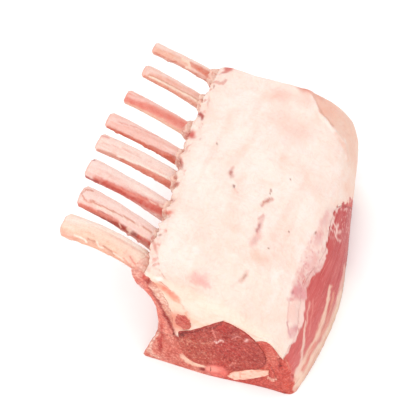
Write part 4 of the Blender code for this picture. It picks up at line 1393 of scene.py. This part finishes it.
def chine_tones(p, n):
    """Red and pink sawn bone at the cut ends, paler bone bodies on the inner side."""
    uv = wobbled(p, 0.8, 3.0, 91)
    cut = cut_part(n)
    tone = coat_of(len(p), (224, 124, 107))
    tone = lay(tone, granular(p, 93), (239, 162, 142), 0.6)
    tone = lay(tone, smooth(0.25, 0.9, fbm(p, 3.4, 94, 3)), (203, 88, 78), 0.6)
    tone = lay(tone, smooth(0.1, 0.8, fbm(p, 6.5, 97, 3)), (240, 166, 148), 0.6)
    # the sawn inner side: pale bone bodies with pink marrow, parted by thin pale discs
    inner = smooth(-0.2, -0.6, n[:, 0]) * (np.abs(n[:, 1]) < 0.5)
    tone = lay(tone, inner, (232, 168, 152), 0.9)
    tone = lay(tone, inner * smooth(0.0, 0.8, fbm(p, 5.0, 95, 3)), (206, 104, 94), 0.75)
    tone = lay(tone, inner * np.exp(-(disc_off(p) / 1.5) ** 2), (248, 226, 214), 0.9)
    low = smooth(10.0, 4.0, p[:, 2])
    tone = lay(tone, inner * low * smooth(0.1, 0.6, fbm(p, 6.0, 96, 2)), (180, 62, 58), 0.6)
    tone = face_paint(tone, p, uv, cut)
    return tone, np.clip(0.35 + 0.65 * cut + 0.5 * inner, 0.0, 1.0) * (1.0 - 0.85 * plain_parts(uv))


layer_piece(
    "sawn_backbone", chine_sheets, BONE_MESH, chine_relief, chine_tones, chine_face,
    "chine_bone",
)


# The meat between the ribs
def wall_sheets(ys, cols):
    """The inner and outer side of the meat between the ribs, with webs round each rib's root."""
    inner_side, outer_side = [], []
    bend = 34
    for y in ys:
        line, root = centre_line(y)
        run = run_of(line)
        near_rib = min(abs(y - r) * (1.0 if y > RIB_Y[-1] else 0.45) for r in RIB_Y)
        web = WEB * (1.0 - float(smooth(2.0, 9.5, near_rib))) - 1.0
        web += 0.9 * noise_1d(y, 3.4, 13)[0] + 0.5 * noise_1d(y, 1.3, 14)[0]
        stop = run[root] + web
        q = np.linspace(0.0, 1.0, bend)
        tip = stop - WALL_ROUND + WALL_ROUND * np.sin(0.5 * math.pi * q)
        s = np.concatenate([np.linspace(0.0, stop - WALL_ROUND, cols - bend + 1)[:-1], tip])
        mid, out, depth = wall_face(y, s, line, run, root)
        shape = np.sqrt(np.clip(1.0 - np.clip((s - stop + WALL_ROUND) / WALL_ROUND, 0.0, 1.0) ** 2, 0.0, 1.0))
        shape = np.maximum(shape, 0.02)[:, None]
        beside = 1.0 - float(smooth(0.0, WALL_IN_NEAR_REACH, y))
        fillet = np.exp(-(((s - run[root] + FILLET_PLACE) / FILLET_REACH) ** 2))
        reach = WALL_ROUND + 10.0 * beside
        taper = np.sqrt(np.clip(1.0 - np.clip((s - stop + reach) / reach, 0.0, 1.0) ** 2, 0.0, 1.0))
        taper = np.maximum(taper, 0.02)[:, None]
        trim = rim(y, *WALL_END_ROUND)
        inner = np.maximum(WALL_IN + beside * (WALL_IN_NEAR + WALL_FILLET * fillet) - trim, 0.3)[:, None]
        low_end = np.stack([np.zeros(len(s)), 1.6 * smooth(1.0, 0.0, s)], 1)
        inner_side.append(mid + out * inner * taper - low_end)
        outer_side.append(mid - out * depth * shape - 0.6 * low_end)
    return np.array(inner_side), np.array(outer_side)


def wall_relief(p, n):
    """Small unevenness of the meat between the ribs."""
    cut = np.abs(n[:, 1]) > 0.7
    return np.where(cut, 0.3 * fbm(p, 2.4, 101, 3), 0.3 * fbm(p, 4.5, 102, 3) + 0.15 * noise(p, 1.4, 103))


def wall_tones(p, n):
    """Red meat under a thin pale skin, fat along its upper edge and layers in the near cut."""
    uv = wobbled(p, 0.8, 3.0, 111)
    near_rib = np.min(np.abs(p[:, 1][:, None] - np.array(RIB_Y)[None]), 1)
    tone = coat_of(len(p), (219, 134, 124))
    tone = lay(tone, smooth(4.0, 9.0, near_rib), (206, 92, 86), 0.75)
    film = smooth(-0.1, 0.7, fbm(p, (5.0, 9.0, 9.0), 113, 3))
    tone = lay(tone, film, (246, 208, 196), 0.75)
    upper = smooth(66.0, 72.0, p[:, 2])
    tone = lay(tone, upper, (254, 219, 200), 0.9)
    tone = lay(tone, upper * smooth(0.2, 0.7, fbm(p, 2.6, 114, 3)), (214, 116, 100), 0.65)
    tone = dab(tone, uv, upper, EDGE_BITS)
    cut = smooth(0.5, 0.8, np.abs(n[:, 1]))
    near = cut * (p[:, 1] < 6.0)
    tone = lay(tone, near, (229, 132, 116))
    tone = lay(tone, near * smooth(-0.2, 0.6, fbm(p, (2.4, 4.0, 11.0), 116, 3)), (241, 172, 154), 0.7)
    tone = lay(tone, near * smooth(40.0, 28.0, p[:, 2]) * granular(p, 93), (239, 162, 142), 0.6)
    tone = fat_face(tone, p, uv, near * smooth(-0.4, 1.2, side_of(uv, SEAM)) * (uv[:, 1] < 338.0))
    tone = face_paint(tone, p, uv, cut)
    by_rib = (p[:, 1] < 12.0) * smooth(278.0, 268.0, uv[:, 1] + 3.0 * fbm(p, 4.0, 117, 2))
    tone = lay(tone, by_rib, (246, 196, 178), 0.85)
    tone = lay(tone, by_rib * smooth(0.1, 0.6, fbm(p, (8.0, 2.0, 2.0), 118, 3)), (226, 140, 122), 0.6)
    tone = lay(tone, cut * (p[:, 1] > LENGTH - 3.0), (214, 110, 102), 0.9)
    return tone, np.clip(0.35 + 0.5 * cut, 0.0, 1.0)


layer_piece(
    "rib_wall", wall_sheets, WALL_MESH, wall_relief, wall_tones, wall_flesh, "rib_meat",
)


# The eye of the loin and the two small pieces
CAP_SHARES = [1.0 - k / (CAP_RINGS + 1.0) for k in range(1, CAP_RINGS + 1)]


def cut_piece(name, ring_of, count, bulge, rough, tones, material, node, proud=0.1, over=0.02):
    """A muscle that runs the whole length and shows only at its two cut ends."""
    a = np.linspace(0.0, 2.0 * math.pi, count, endpoint=False)
    rows = [0.0, 0.8, 3.0, 30.0, 89.0, 148.0, LENGTH - 3.0, LENGTH - 0.8, LENGTH]
    rings = []
    for k, y in enumerate(rows):
        edge = ring_of(y, a)
        middle = edge.mean(0)
        shrink = 1.0 - over if 1 < k < len(rows) - 2 else 1.0
        edge = middle + (edge - middle) * shrink
        shift = -proud if k < 2 else (proud if k > len(rows) - 3 else 0.0)
        rings.append(np.stack([edge[:, 0], np.full(count, y + shift), edge[:, 1]], 1))
    points, quads, tris = tube(np.array(rings), CAP_SHARES)
    cap_rows = len(CAP_SHARES) * count + 1
    inside = np.zeros(len(points))
    start = len(rows) * count
    for end in (0, 1):
        begin = start + end * cap_rows
        share = np.concatenate([np.repeat(CAP_SHARES, count), [0.0]])
        inside[begin:begin + cap_rows] = 1.0 - share ** 2
        points[begin:begin + cap_rows, 1] += bulge * inside[begin:begin + cap_rows] * (1.0 if end else -1.0)
    on_cap = (inside > 0.0) * 1.0

    def relief(p, n):
        return on_cap * rough(p) * smooth(0.0, 0.25, inside)

    points, quads, tris, _ = shaped(points, quads, tris, relief)
    tone, grain = tones(points, inside)
    piece(name, lean(points), quads, tris, tone, grain, material, [node])


def eye_rough(p):
    """Grains of the eye's cut face."""
    return 0.4 * fbm(p, 2.8, 121, 3) + 0.3 * noise(p, 1.15, 122)


EYE_DABS = (
    (231, 349, 17.0, 8.0, 10, (199, 66, 62), 0.65, 0.8),
    (223, 328, 6.0, 4.5, 0, (204, 62, 54), 0.7, 0.8),
    (240, 365, 14.0, 4.0, 8, (190, 72, 62), 0.5, 0.9),
    (235, 333.6, 5.0, 4.0, 20, (158, 42, 44), 0.75, 0.8),
    (248, 336, 3.6, 3.0, 40, (184, 48, 50), 0.7, 0.8),
    (225.6, 338, 2.0, 3.0, -20, (156, 38, 38), 0.7, 0.8),
    (182.2, 335.0, 2.6, 2.2, 0, (112, 26, 24), 0.9, 0.6),
    (186.2, 333.0, 1.6, 1.4, 0, (92, 20, 20), 0.9, 0.6),
    (210, 329, 3.4, 1.8, 0, (150, 40, 36), 0.7, 0.8),
    (200, 336, 10.0, 4.0, -5, (184, 66, 56), 0.6, 0.8),
    (222, 364, 7.0, 4.0, 15, (214, 84, 74), 0.6, 0.8),
    (213.6, 363, 2.0, 2.0, 0, (242, 142, 128), 0.7, 0.8),
    (254, 356, 7.0, 6.0, 30, (178, 58, 50), 0.6, 0.8),
    (246.4, 340.4, 1.7, 1.6, 20, (255, 204, 196), 0.95, 0.5),
)
EYE_LINES = (
    ([(212, 329), (214, 334), (216, 339)], 2.0, (240, 148, 134), 0.75, 0.8),
    ([(214.5, 341), (217.5, 342.6), (219.5, 340.6), (223, 341.4)], 1.7, (252, 208, 198), 0.95, 0.6),
    ([(232, 338), (237, 336.4), (240, 338)], 1.4, (240, 164, 154), 0.7, 0.8),
    ([(243, 347), (247, 352), (252, 354)], 1.3, (232, 130, 112), 0.6, 0.8),
    ([(229.5, 366.5), (232, 363.5), (235, 362.5)], 1.6, (242, 158, 142), 0.8, 0.7),
    ([(226, 337), (229, 332), (227, 327)], 1.4, (160, 40, 38), 0.7, 0.8),
    ([(263, 353), (266, 360), (264.4, 367), (258, 369.4)], 1.8, (158, 42, 38), 0.75, 0.8),
    ([(192, 361), (200, 363.4), (210, 363.2)], 1.6, (176, 62, 52), 0.7, 0.8),
    (
        [(180, 333.2), (190, 332.6), (200, 330.4), (207, 328.2), (214, 327.8), (218, 325), (223, 321.6)],
        1.4, (134, 36, 32), 0.75, 0.7,
    ),
)


def eye_tones(p, inside):
    """Red meat with crumbs, marbling and the photo's marks; inside grows from the edge to the middle."""
    uv = wobbled(p, 0.7, 2.6, 123)
    tone = coat_of(len(p), (190, 80, 70))
    near = (p[:, 1] < 6.0) * 1.0
    left = near * smooth(226.0, 196.0, uv[:, 0]) * smooth(334.0, 342.0, uv[:, 1])
    tone = lay(tone, left, (202, 98, 82), 0.8)
    tone = dab(tone, uv, near, EYE_DABS)
    crumbs = granular(p, 125)
    tone = lay(tone, crumbs, (216, 118, 98), 0.36)
    tone = lay(tone, smooth(0.1, 0.9, noise(p, 1.5, 128) + 0.6 * noise(p, 0.8, 129)), (150, 48, 44), 0.5)
    tone = lay(tone, left * smooth(0.3, 0.9, fbm(p, 1.4, 130, 2, 0.8)), (240, 176, 148), 0.55)
    tone = brush(tone, uv, near, EYE_LINES)
    marbling = smooth(0.62, 0.95, fbm(p, 2.3, 127, 2, 0.7)) * (inside > 0.02)
    tone = lay(tone, marbling, (234, 150, 134), 0.55)
    # the lump under the eye again, with its painted highlight
    tone = dab(tone, uv, near, BASE_DABS[:3])
    return tone, 1.0 - 0.85 * near * plain_parts(uv)


def eye_ring(y, a):
    """The eye's edge, a little over the meat around it."""
    return eye_at(y, a, 0.25)


cut_piece("loin_eye_cut", eye_ring, 200, 0.3, eye_rough, eye_tones, eye_flesh, "loin_eye")


def oval_at(x, z, half, tilt, a, wobble, seed, block=1.0):
    """Points of a tilted, uneven oval at these angles."""
    loop = np.stack([3.0 * np.cos(a), 3.0 * np.sin(a), np.zeros_like(a)], 1)
    r = 1.0 + wobble * fbm(loop, 1.4, seed, 3, 0.6)
    u = half[0] * np.sign(np.cos(a)) * np.abs(np.cos(a)) ** block * r
    v = half[1] * np.sign(np.sin(a)) * np.abs(np.sin(a)) ** block * r
    c, s = math.cos(tilt), math.sin(tilt)
    return np.stack([x + u * c - v * s, z + u * s + v * c], -1)


def strap_ring(y, a):
    """The sinew's edge, smaller toward the far end."""
    size = 1.0 - 0.25 * y / LENGTH
    half = (STRAP_HALF[0] * size, STRAP_HALF[1] * size)
    return oval_at(ends(STRAP_X, y), STRAP_Z, half, STRAP_LEAN, a, 0.15, 131, STRAP_BLOCK)


def strap_tones(p, inside):
    """Cream sinew, pinker toward its edge."""
    tone = coat_of(len(p), (247, 196, 174))
    tone = lay(tone, smooth(-0.1, 0.7, fbm(p, 3.4, 132, 3)), (251, 214, 194), 0.7)
    tone = lay(tone, smooth(0.1, 0.8, fbm(p, 2.2, 133, 2)), (232, 152, 130), 0.65)
    tone = lay(tone, 1.0 - smooth(0.0, 0.16, inside + 0.1 * fbm(p, 1.4, 135, 2)), (228, 138, 116), 0.7)
    return tone, np.full(len(p), 0.1)


def strap_rough(p):
    """Low unevenness of the sinew's cut face."""
    return 0.3 * fbm(p, 2.6, 134, 2)


cut_piece(
    "neck_sinew", strap_ring, 72, 0.7, strap_rough, strap_tones, strap_skin, "backstrap",
    proud=0.3,
)


def small_ring(y, a):
    """The small muscle's edge."""
    return oval_at(ends(SMALL_X, y), SMALL_Z, SMALL_HALF, SMALL_LEAN, a, 0.16, 141)


def small_tones(p, inside):
    """Pink meat, paler toward its edge."""
    uv = photo_px(p)
    tone = coat_of(len(p), (217, 112, 96))
    tone = lay(tone, granular(p, 142), (228, 138, 116), 0.5)
    tone = lay(tone, smooth(0.1, 0.8, fbm(p, 2.6, 145, 2)), (196, 82, 72), 0.5)
    near = (p[:, 1] < 6.0) * 1.0
    tone = lay(tone, near * spot(uv, 184, 319, 4.5, 4.5, 0, 0.8), (208, 84, 76), 0.6)
    tone = lay(tone, 1.0 - smooth(0.0, 0.35, inside), (226, 140, 120), 0.7)
    return tone, np.ones(len(p))


def small_rough(p):
    """Grains of the small muscle's cut face."""
    return 0.3 * fbm(p, 2.0, 143, 2)


cut_piece(
    "rib_side_muscle", small_ring, 64, 0.5, small_rough, small_tones, small_flesh, "small_muscle",
    proud=0.15,
)


# The ribs

# Tones of each rib: its far side, its near side, and the same two where the photo shows them. The two near
# side tones are meat and painted shade together.
RIB_TONES = (
    ((250, 222, 211), (218, 140, 120), (244, 200, 184), (226, 150, 128)),
    ((250, 220, 209), (216, 142, 122), (246, 203, 189), (226, 150, 126)),
    ((240, 178, 164), (222, 144, 130), (243, 168, 152), (249, 204, 182)),
    ((247, 207, 194), (214, 128, 112), (247, 200, 188), (226, 128, 104)),
    ((250, 216, 205), (216, 134, 114), (249, 214, 202), (232, 158, 138)),
    ((250, 214, 204), (200, 92, 80), (249, 214, 203), (220, 112, 94)),
    ((249, 208, 197), (206, 104, 92), (250, 211, 200), (224, 136, 118)),
    ((250, 220, 201), (206, 142, 116), (251, 221, 202), (230, 172, 142)),
)
# How far each rib's marks are moved in the photo's plane, its bare part's slimness, and where its red starts
RIB_SHIFT = np.array([
    (0.0, 1.6), (0.0, 2.6), (-0.5, 2.2), (-0.3, 1.4), (-0.3, 1.2), (-0.4, 1.6), (0.3, 1.8), (0.0, 0.6),
])
RIB_SLIM = (0.9, 0.95, 0.92, 1.0, 1.0, 1.0, 1.0, 1.0)
RIB_RED_FROM = (0.0, 0.3, -0.8, 0.05, 0.15, -0.1, 0.25, 0.45)

# Brush lines of the ribs, from the far one to the near one. The broad pale lines along their upper edges are
# painted highlights; the near rib's broad tan line along its lower part is its tan colour and painted shade.
RIB_LINES = (
    (
        ([(157, 43.4), (172, 49), (188, 56.5), (212, 68)], 3.4, (249, 219, 207), 0.9, 0.8),
        ([(154, 47.6), (170, 54), (188, 62.6)], 4.6, (238, 176, 150), 0.85, 0.7),
        ([(153.4, 50.4), (168, 57), (184, 65)], 2.0, (228, 150, 128), 0.8, 0.8),
        ([(190, 62), (201, 68), (213, 76.5)], (4.0, 7.0), (220, 120, 94), 1.0, 0.5),
        ([(182.5, 57.6), (188, 60), (190, 64.4)], 2.6, (253, 230, 208), 0.95, 0.6),
        ([(186, 66), (191, 66.4)], 2.0, (252, 226, 206), 0.9, 0.6),
        ([(152.6, 44), (154.6, 49)], 2.2, (244, 196, 180), 0.8, 0.8),
    ),
    (
        ([(147, 68), (168, 74), (190, 84.6), (206, 92)], 4.0, (249, 214, 202), 0.8, 0.8),
        ([(151, 71.6), (170, 78.6), (190, 88.6), (206, 99)], 3.6, (238, 170, 150), 0.85, 0.8),
        ([(148, 76.6), (166, 84.4), (188, 96.2), (203, 107)], 3.0, (226, 154, 130), 0.9, 0.6),
        ([(149, 72.8), (160, 78), (175, 85.6), (190, 93.4), (205, 103.4)], 3.0, (206, 140, 112), 0.9, 0.6),
        ([(149, 73.4), (160, 78.6), (175, 86.2), (190, 94), (204, 103.4)], 1.8, (254, 230, 210), 0.98, 0.5),
        ([(143.6, 72), (146, 67)], 2.4, (240, 188, 172), 0.8, 0.7),
        ([(202, 101), (208, 106)], 5.0, (225, 130, 110), 0.8, 0.8),
    ),
    (
        ([(129, 93.6), (150, 99.6), (170, 108), (190, 119)], 3.4, (249, 206, 196), 0.9, 0.8),
        ([(127, 97.6), (150, 106), (170, 115.6), (190, 126.4)], 6.0, (229, 128, 112), 0.95, 0.7),
        ([(128, 103.4), (146, 111), (166, 122), (187, 134)], 3.4, (249, 202, 178), 0.9, 0.6),
        ([(186, 128), (193, 134)], 5.0, (214, 106, 88), 0.8, 0.8),
    ),
    (
        ([(110, 117), (134, 123), (160, 134.6), (184, 147)], 4.0, (250, 214, 204), 0.8, 0.8),
        ([(112, 121.6), (134, 128.4), (156, 138), (180, 150)], 2.4, (241, 182, 168), 0.8, 0.8),
        ([(118, 120), (136, 125.6), (158, 135)], 0.9, (228, 150, 138), 0.8, 0.7),
        (
            [(107, 127.4), (124, 134), (142, 143), (162, 153), (182, 163.4)],
            (3.4, 7.0), (222, 112, 86), 1.0, 0.5,
        ),
        ([(150, 144), (166, 151.4), (180, 158)], 1.6, (204, 94, 74), 0.7, 0.8),
        ([(106.6, 119), (105.6, 125)], 3.0, (238, 170, 152), 0.8, 0.8),
    ),
    (
        ([(100, 138.6), (124, 144), (150, 156), (178, 169)], 4.4, (251, 224, 213), 0.8, 0.8),
        ([(102, 134.8), (109, 136.6)], 1.4, (222, 128, 118), 0.85, 0.8),
        ([(104, 142), (126, 149), (152, 161)], 1.0, (236, 178, 164), 0.8, 0.8),
        ([(98, 149), (112, 153), (124, 159)], 2.6, (226, 160, 142), 0.85, 0.7),
        ([(122, 160), (140, 168), (158, 177), (174, 186)], (4.6, 8.0), (226, 130, 106), 1.0, 0.5),
        ([(118, 154.6), (136, 161.6), (154, 170), (172, 179)], 2.0, (255, 234, 220), 0.95, 0.6),
        ([(120, 157), (138, 164), (156, 172.4), (172, 181)], 0.9, (206, 130, 108), 0.7, 0.7),
        ([(166, 181), (174, 186)], 4.0, (216, 112, 92), 0.8, 0.8),
    ),
    (
        ([(90, 160), (112, 168), (140, 181), (168, 194)], 5.0, (251, 226, 217), 0.8, 0.8),
        ([(88, 156.8), (95, 158.6)], 1.4, (160, 84, 82), 0.85, 0.8),
        (
            [(96, 177), (116, 186.6), (136, 196.4), (152, 204), (174, 214)],
            (6.0, 13.0), (217, 104, 87), 1.0, 0.5,
        ),
        ([(104, 182), (124, 192), (146, 203), (170, 214)], 3.6, (204, 80, 66), 0.8, 0.8),
        ([(112, 183), (128, 190.6), (146, 199)], 1.6, (238, 150, 130), 0.7, 0.8),
        ([(84.4, 174), (90, 177.4), (99, 181)], 2.0, (168, 52, 50), 0.9, 0.7),
        ([(86, 170), (94, 174), (100, 177)], 3.0, (241, 188, 176), 0.7, 0.8),
        ([(160, 203), (166, 206.6), (170, 207.6)], 2.2, (253, 222, 200), 0.9, 0.6),
        ([(150, 199), (156, 202.6)], 1.5, (252, 214, 196), 0.8, 0.7),
        ([(166, 211), (174, 217)], 4.4, (198, 70, 60), 0.8, 0.8),
    ),
    (
        ([(84, 191), (110, 201), (136, 214), (160, 228)], 6.0, (251, 221, 211), 0.8, 0.8),
        ([(93, 189.4), (86, 187.6), (81.4, 191.6), (84, 198), (96, 203)], 1.4, (206, 122, 96), 0.85, 0.7),
        ([(90, 198.4), (110, 208), (130, 218.4), (152, 230.6)], 1.6, (206, 126, 98), 0.95, 0.6),
        ([(92, 201.6), (112, 211.4), (134, 222.4), (154, 234)], 1.8, (252, 222, 206), 0.85, 0.7),
        ([(76.6, 203), (90, 208.6), (104, 214.6), (116, 220.4)], (6.4, 6.0), (220, 122, 104), 1.0, 0.5),
        ([(78, 206.6), (94, 212.8), (112, 221)], 1.9, (164, 58, 46), 0.9, 0.7),
        ([(98, 208.6), (112, 215)], 1.2, (176, 82, 70), 0.75, 0.7),
        ([(112, 220.6), (120, 224), (127.6, 228.4)], 4.6, (176, 62, 46), 1.0, 0.5),
        ([(119, 222), (121, 225.4)], 1.5, (244, 190, 168), 0.9, 0.6),
        ([(127.8, 227), (131.4, 231)], 3.4, (252, 216, 196), 0.95, 0.6),
        ([(132, 231), (137.6, 234.6)], 3.8, (150, 34, 22), 0.9, 0.6),
        ([(138.6, 235), (144, 238), (151, 242.4)], 4.2, (214, 84, 66), 0.95, 0.7),
        ([(140, 232), (146, 236)], 1.6, (252, 214, 190), 0.85, 0.7),
    ),
    (
        ([(62, 229), (84, 233), (108, 243), (134, 260)], 7.0, (243, 200, 174), 0.8, 0.9),
        ([(66, 217), (88, 221), (112, 230), (140, 246)], 5.0, (253, 236, 225), 0.85, 0.8),
        ([(62, 224), (84, 227), (108, 236), (136, 251)], 3.0, (250, 217, 196), 0.7, 0.8),
        ([(60.4, 231.6), (66, 235), (74, 238)], 6.0, (229, 166, 146), 0.9, 0.8),
        (
            [(74, 237.4), (88, 241), (104, 248), (120, 258), (131, 268)],
            (5.0, 7.0), (219, 156, 130), 0.85, 0.8,
        ),
        ([(74.6, 234.8), (80, 236.6), (84.4, 238.8), (86, 241.4)], 1.8, (255, 234, 218), 0.95, 0.6),
        ([(88, 238.4), (95, 240.6)], 1.6, (200, 134, 110), 0.9, 0.6),
        ([(97, 241), (98.6, 246), (103, 247.4)], 1.6, (255, 233, 216), 0.9, 0.6),
        ([(104, 246), (111, 250), (114, 254)], 1.8, (198, 128, 104), 0.9, 0.6),
        ([(113, 252), (118, 256), (124, 259.6)], 1.5, (254, 228, 208), 0.8, 0.6),
        ([(126, 252), (134, 262), (140, 272)], 5.0, (244, 186, 168), 0.8, 0.8),
        ([(130, 256), (137, 266), (141, 274)], 1.4, (222, 118, 106), 0.8, 0.7),
        ([(124, 258), (132, 268), (138, 276)], 1.6, (226, 132, 116), 0.8, 0.7),
    ),
)


def rib_tones(k, p, n, on, length, half_width):
    """Pale bone with red on its near side from meat and painted shade, scraps of meat by the root, the
    photo's marks with painted highlights, and the sawn tip.
    """
    top, near_side_meat_and_shade, base, low_side_meat_and_shade = RIB_TONES[k]
    share, body, tip, root_share = on["share"], on["body"], on["tip"], on["root"]
    strip = np.stack([share * length, on["turn"] * half_width, np.zeros(len(p))], 1)
    wobble = 0.3 * fbm(strip, (16.0, 5.0, 5.0), 191 + k, 3)
    lines = fbm(strip, (34.0, 1.7, 1.0), 201 + k, 2)
    facing = -(n @ UP)
    tone = coat_of(len(p), top)
    # red on the near side and underside: meat scraps and painted shade together
    red = smooth(RIB_RED_FROM[k] - 0.3, RIB_RED_FROM[k] + 0.3, facing + wobble) * body
    tone = lay(tone, red, near_side_meat_and_shade, 0.95)
    # painted shade on the sides that face most downward
    tone = lay(tone, smooth(0.75, 1.0, facing) * body, (226, 158, 142), 0.6)
    tone = lay(tone, smooth(0.35, 0.9, lines) * body, (255, 234, 224), 0.6)
    tone = lay(tone, smooth(0.35, 0.95, -lines) * body, (226, 160, 146), 0.4)
    near_root = smooth(root_share + 0.16, root_share - 0.02, share + 0.05 * fbm(p, 4.0, 211 + k, 2))
    blots = smooth(0.1, 0.5, fbm(strip, (6.0, 3.0, 3.0), 221 + k, 3))
    tone = lay(tone, near_root * blots * (0.4 + 0.6 * red) * body, (190, 84, 80), 0.8)
    # the side the photo shows
    uv = wobbled(p, 0.5, 2.6, 241) - RIB_SHIFT[k]
    seen = smooth(-0.1, 0.22, n @ BACK) * body
    tone = lay(tone, seen, base, 0.9)
    # a lower band on the shown side, meat and painted shade together
    low = smooth(0.2, 0.8, facing + 0.7 * wobble) * smooth(0.08, 0.3, share - root_share + 0.3)
    tone = lay(tone, seen * low, low_side_meat_and_shade, 0.85)
    tone = lay(tone, seen * smooth(0.2, 0.9, lines), (254, 230, 219), 0.6)
    tone = lay(tone, seen * smooth(0.3, 0.95, -lines), (229, 160, 144), 0.45)
    tone = brush(tone, uv, seen * (0.85 + 0.2 * fbm(p, 1.8, 243, 2)), RIB_LINES[k])
    tone = lay(tone, smooth(0.985, 1.0, share) * body, (236, 176, 162), 0.6)
    tone = lay(tone, tip, (238, 190, 176))
    tone = lay(tone, tip * smooth(0.6, 0.4, on["cap"]), (206, 116, 104), 0.9)
    return tone, 0.15 + 0.75 * tip * smooth(0.7, 0.45, on["cap"])


def rib(k):
    """A rib bone from its foot in the backbone to its sawn tip."""
    line, root = centre_line(RIB_Y[k])
    run = run_of(line)
    steps, sides = RIB_MESH
    s = np.linspace(0.0, run[-1], steps)
    mid = read_at(line, run, s)
    out = normals(mid)
    bare = smooth(run[root] - 5.0, run[-1], s)
    slim = 1.0 - (1.0 - RIB_SLIM[k]) * bare
    width = 0.5 * RIB_WIDTH[k] * (1.0 + 0.06 * smooth(0.7, 1.0, s / run[-1])) * slim
    thick = 0.5 * RIB_THICK[k] * (1.0 - 0.1 * np.sin(math.pi * bare)) * slim
    trim = 1.0 - 0.26 * smooth(run[-1] - 2.6, run[-1], s) ** 2.5
    a = np.linspace(0.0, 2.0 * math.pi, sides, endpoint=False)
    across = np.sign(np.cos(a)) * np.abs(np.cos(a)) ** 0.8
    deep = np.sign(np.sin(a)) * np.abs(np.sin(a)) ** 0.8
    xz = mid[:, None, :] - out[:, None, :] * (deep[None, :] * (thick * trim)[:, None])[..., None]
    y = RIB_Y[k] + ((TIP_Y[k] - RIB_Y[k]) * bare)[:, None] + across[None, :] * (width * trim)[:, None]
    y += (0.5 * RIB_WIDTH[k] * (1.0 - slim))[:, None]
    points, quads, tris = tube(np.stack([xz[..., 0], y, xz[..., 1]], -1), RIB_CAPS)

    # where each point lies: on the body, on the foot's closed end or on the sawn tip
    body_end = steps * sides
    tip_start = body_end + len(RIB_CAPS) * sides + 1
    order = np.arange(len(points))
    on = {"body": order < body_end, "tip": order >= tip_start, "root": run[root] / run[-1]}
    on["share"] = np.where(order < tip_start, 0.0, 1.0)
    on["share"][:body_end] = np.repeat(s / run[-1], sides)
    on["turn"] = np.zeros(len(points))
    on["turn"][:body_end] = np.tile(a, steps)
    on["cap"] = np.zeros(len(points))
    on["cap"][tip_start:-1] = np.repeat(RIB_CAPS, sides)

    def relief(p, n):
        long_bumps = 0.28 * fbm(p, (14.0, 5.0, 8.0), 151 + k, 3) + 0.1 * fbm(p, 2.0, 161 + k, 2)
        scraps = np.maximum(0.0, fbm(p, (5.0, 2.5, 2.5), 171 + k, 3) - 0.35) * 1.2
        on_near = smooth(0.1, 0.7, -np.cos(on["turn"])) * on["body"]
        on_near = on_near * smooth(on["root"] - 0.05, on["root"] + 0.1, on["share"])
        marrow = -0.8 * on["tip"] * smooth(0.62, 0.4, on["cap"])
        scraps = scraps * smooth(1.0, 0.9, on["share"])
        return (long_bumps + scraps * on_near) * on["body"] + marrow + 0.15 * noise(p, 1.2, 181) * on["tip"]

    points, quads, tris, n = shaped(points, quads, tris, relief)
    tone, grain = rib_tones(k, points, n, on, run[-1], width.mean())
    name, node = "rib_bone_%d" % (k + 1), "rib_%d" % (k + 1)
    piece(name, points, quads, tris, tone, grain, rib_face, [node])


for k in range(len(RIB_Y)):
    rib(k)


# The floor, light and camera
def floor_material():
    """Pale matt ground."""
    m = Shader("pale_floor")
    fine = m.noise(40.0, 3.0, 0.5)
    colour = m.mix(m.span(fine, 0.3, 0.7, 0.0, 1.0), (0.93, 0.925, 0.92), (0.95, 0.945, 0.94))
    normal = m.bump(fine, 0.02, 0.2)
    return m.finish(colour, 0.9, normal, specular=0.1)


FLOOR_HALF = 6.0
FLOOR_BELOW = 0.0002
SKY_STRENGTH = 1.2

corners = [(-1.0, -1.0), (1.0, -1.0), (1.0, 1.0), (-1.0, 1.0)]
mesh = bpy.data.meshes.new("floor")
mesh.from_pydata([(FLOOR_HALF * x, FLOOR_HALF * y, 0.0) for x, y in corners], [], [(0, 1, 2, 3)])
floor = bpy.data.objects.new("floor", mesh)
bpy.context.scene.collection.objects.link(floor)
mesh.materials.append(floor_material())
floor.location = (0.0, 0.0, -FLOOR_BELOW)

world = bpy.data.worlds.new("studio")
bpy.context.scene.world = world
world.use_nodes = True
back_light = world.node_tree.nodes["Background"]
back_light.inputs["Color"].default_value = (1.0, 1.0, 1.0, 1.0)
back_light.inputs["Strength"].default_value = SKY_STRENGTH


def placed(x, y, z, place):
    """A matrix with these three axes at this place."""
    m = Matrix.Identity(4)
    for row in range(3):
        m[row][0], m[row][1], m[row][2], m[row][3] = x[row], y[row], z[row], place[row]
    return m


def lamp(name, place, target, size, power):
    """A soft round lamp, its place and target in metres."""
    data = bpy.data.lights.new(name, "AREA")
    data.shape = "DISK"
    data.size = size
    data.energy = power
    obj = bpy.data.objects.new(name, data)
    bpy.context.scene.collection.objects.link(obj)
    z = np.array(place, float) - np.array(target, float)
    z /= np.linalg.norm(z)
    x = np.cross([0.0, 0.0, 1.0], z)
    x /= np.linalg.norm(x)
    obj.matrix_world = placed(x, np.cross(z, x), z, place)


lamp("key", (-0.55, -0.35, 1.25), (0.0, 0.0, 0.05), 1.3, 4.5)
lamp("front", (0.15, -1.5, 0.42), (0.0, 0.0, 0.03), 1.0, 8.0)

camera_data = bpy.data.cameras.new("camera")
camera = bpy.data.objects.new("camera", camera_data)
bpy.context.scene.collection.objects.link(camera)
camera_data.sensor_fit = "HORIZONTAL"
camera_data.sensor_width = SENSOR
camera_data.lens = FOCAL / PHOTO[0] * SENSOR
camera_data.clip_start = 0.05
camera_data.clip_end = 50.0
camera.matrix_world = placed(RIGHT, UP, BACK, EYE_POINT)
bpy.context.scene.camera = camera
bpy.context.scene.view_settings.view_transform = "Standard"
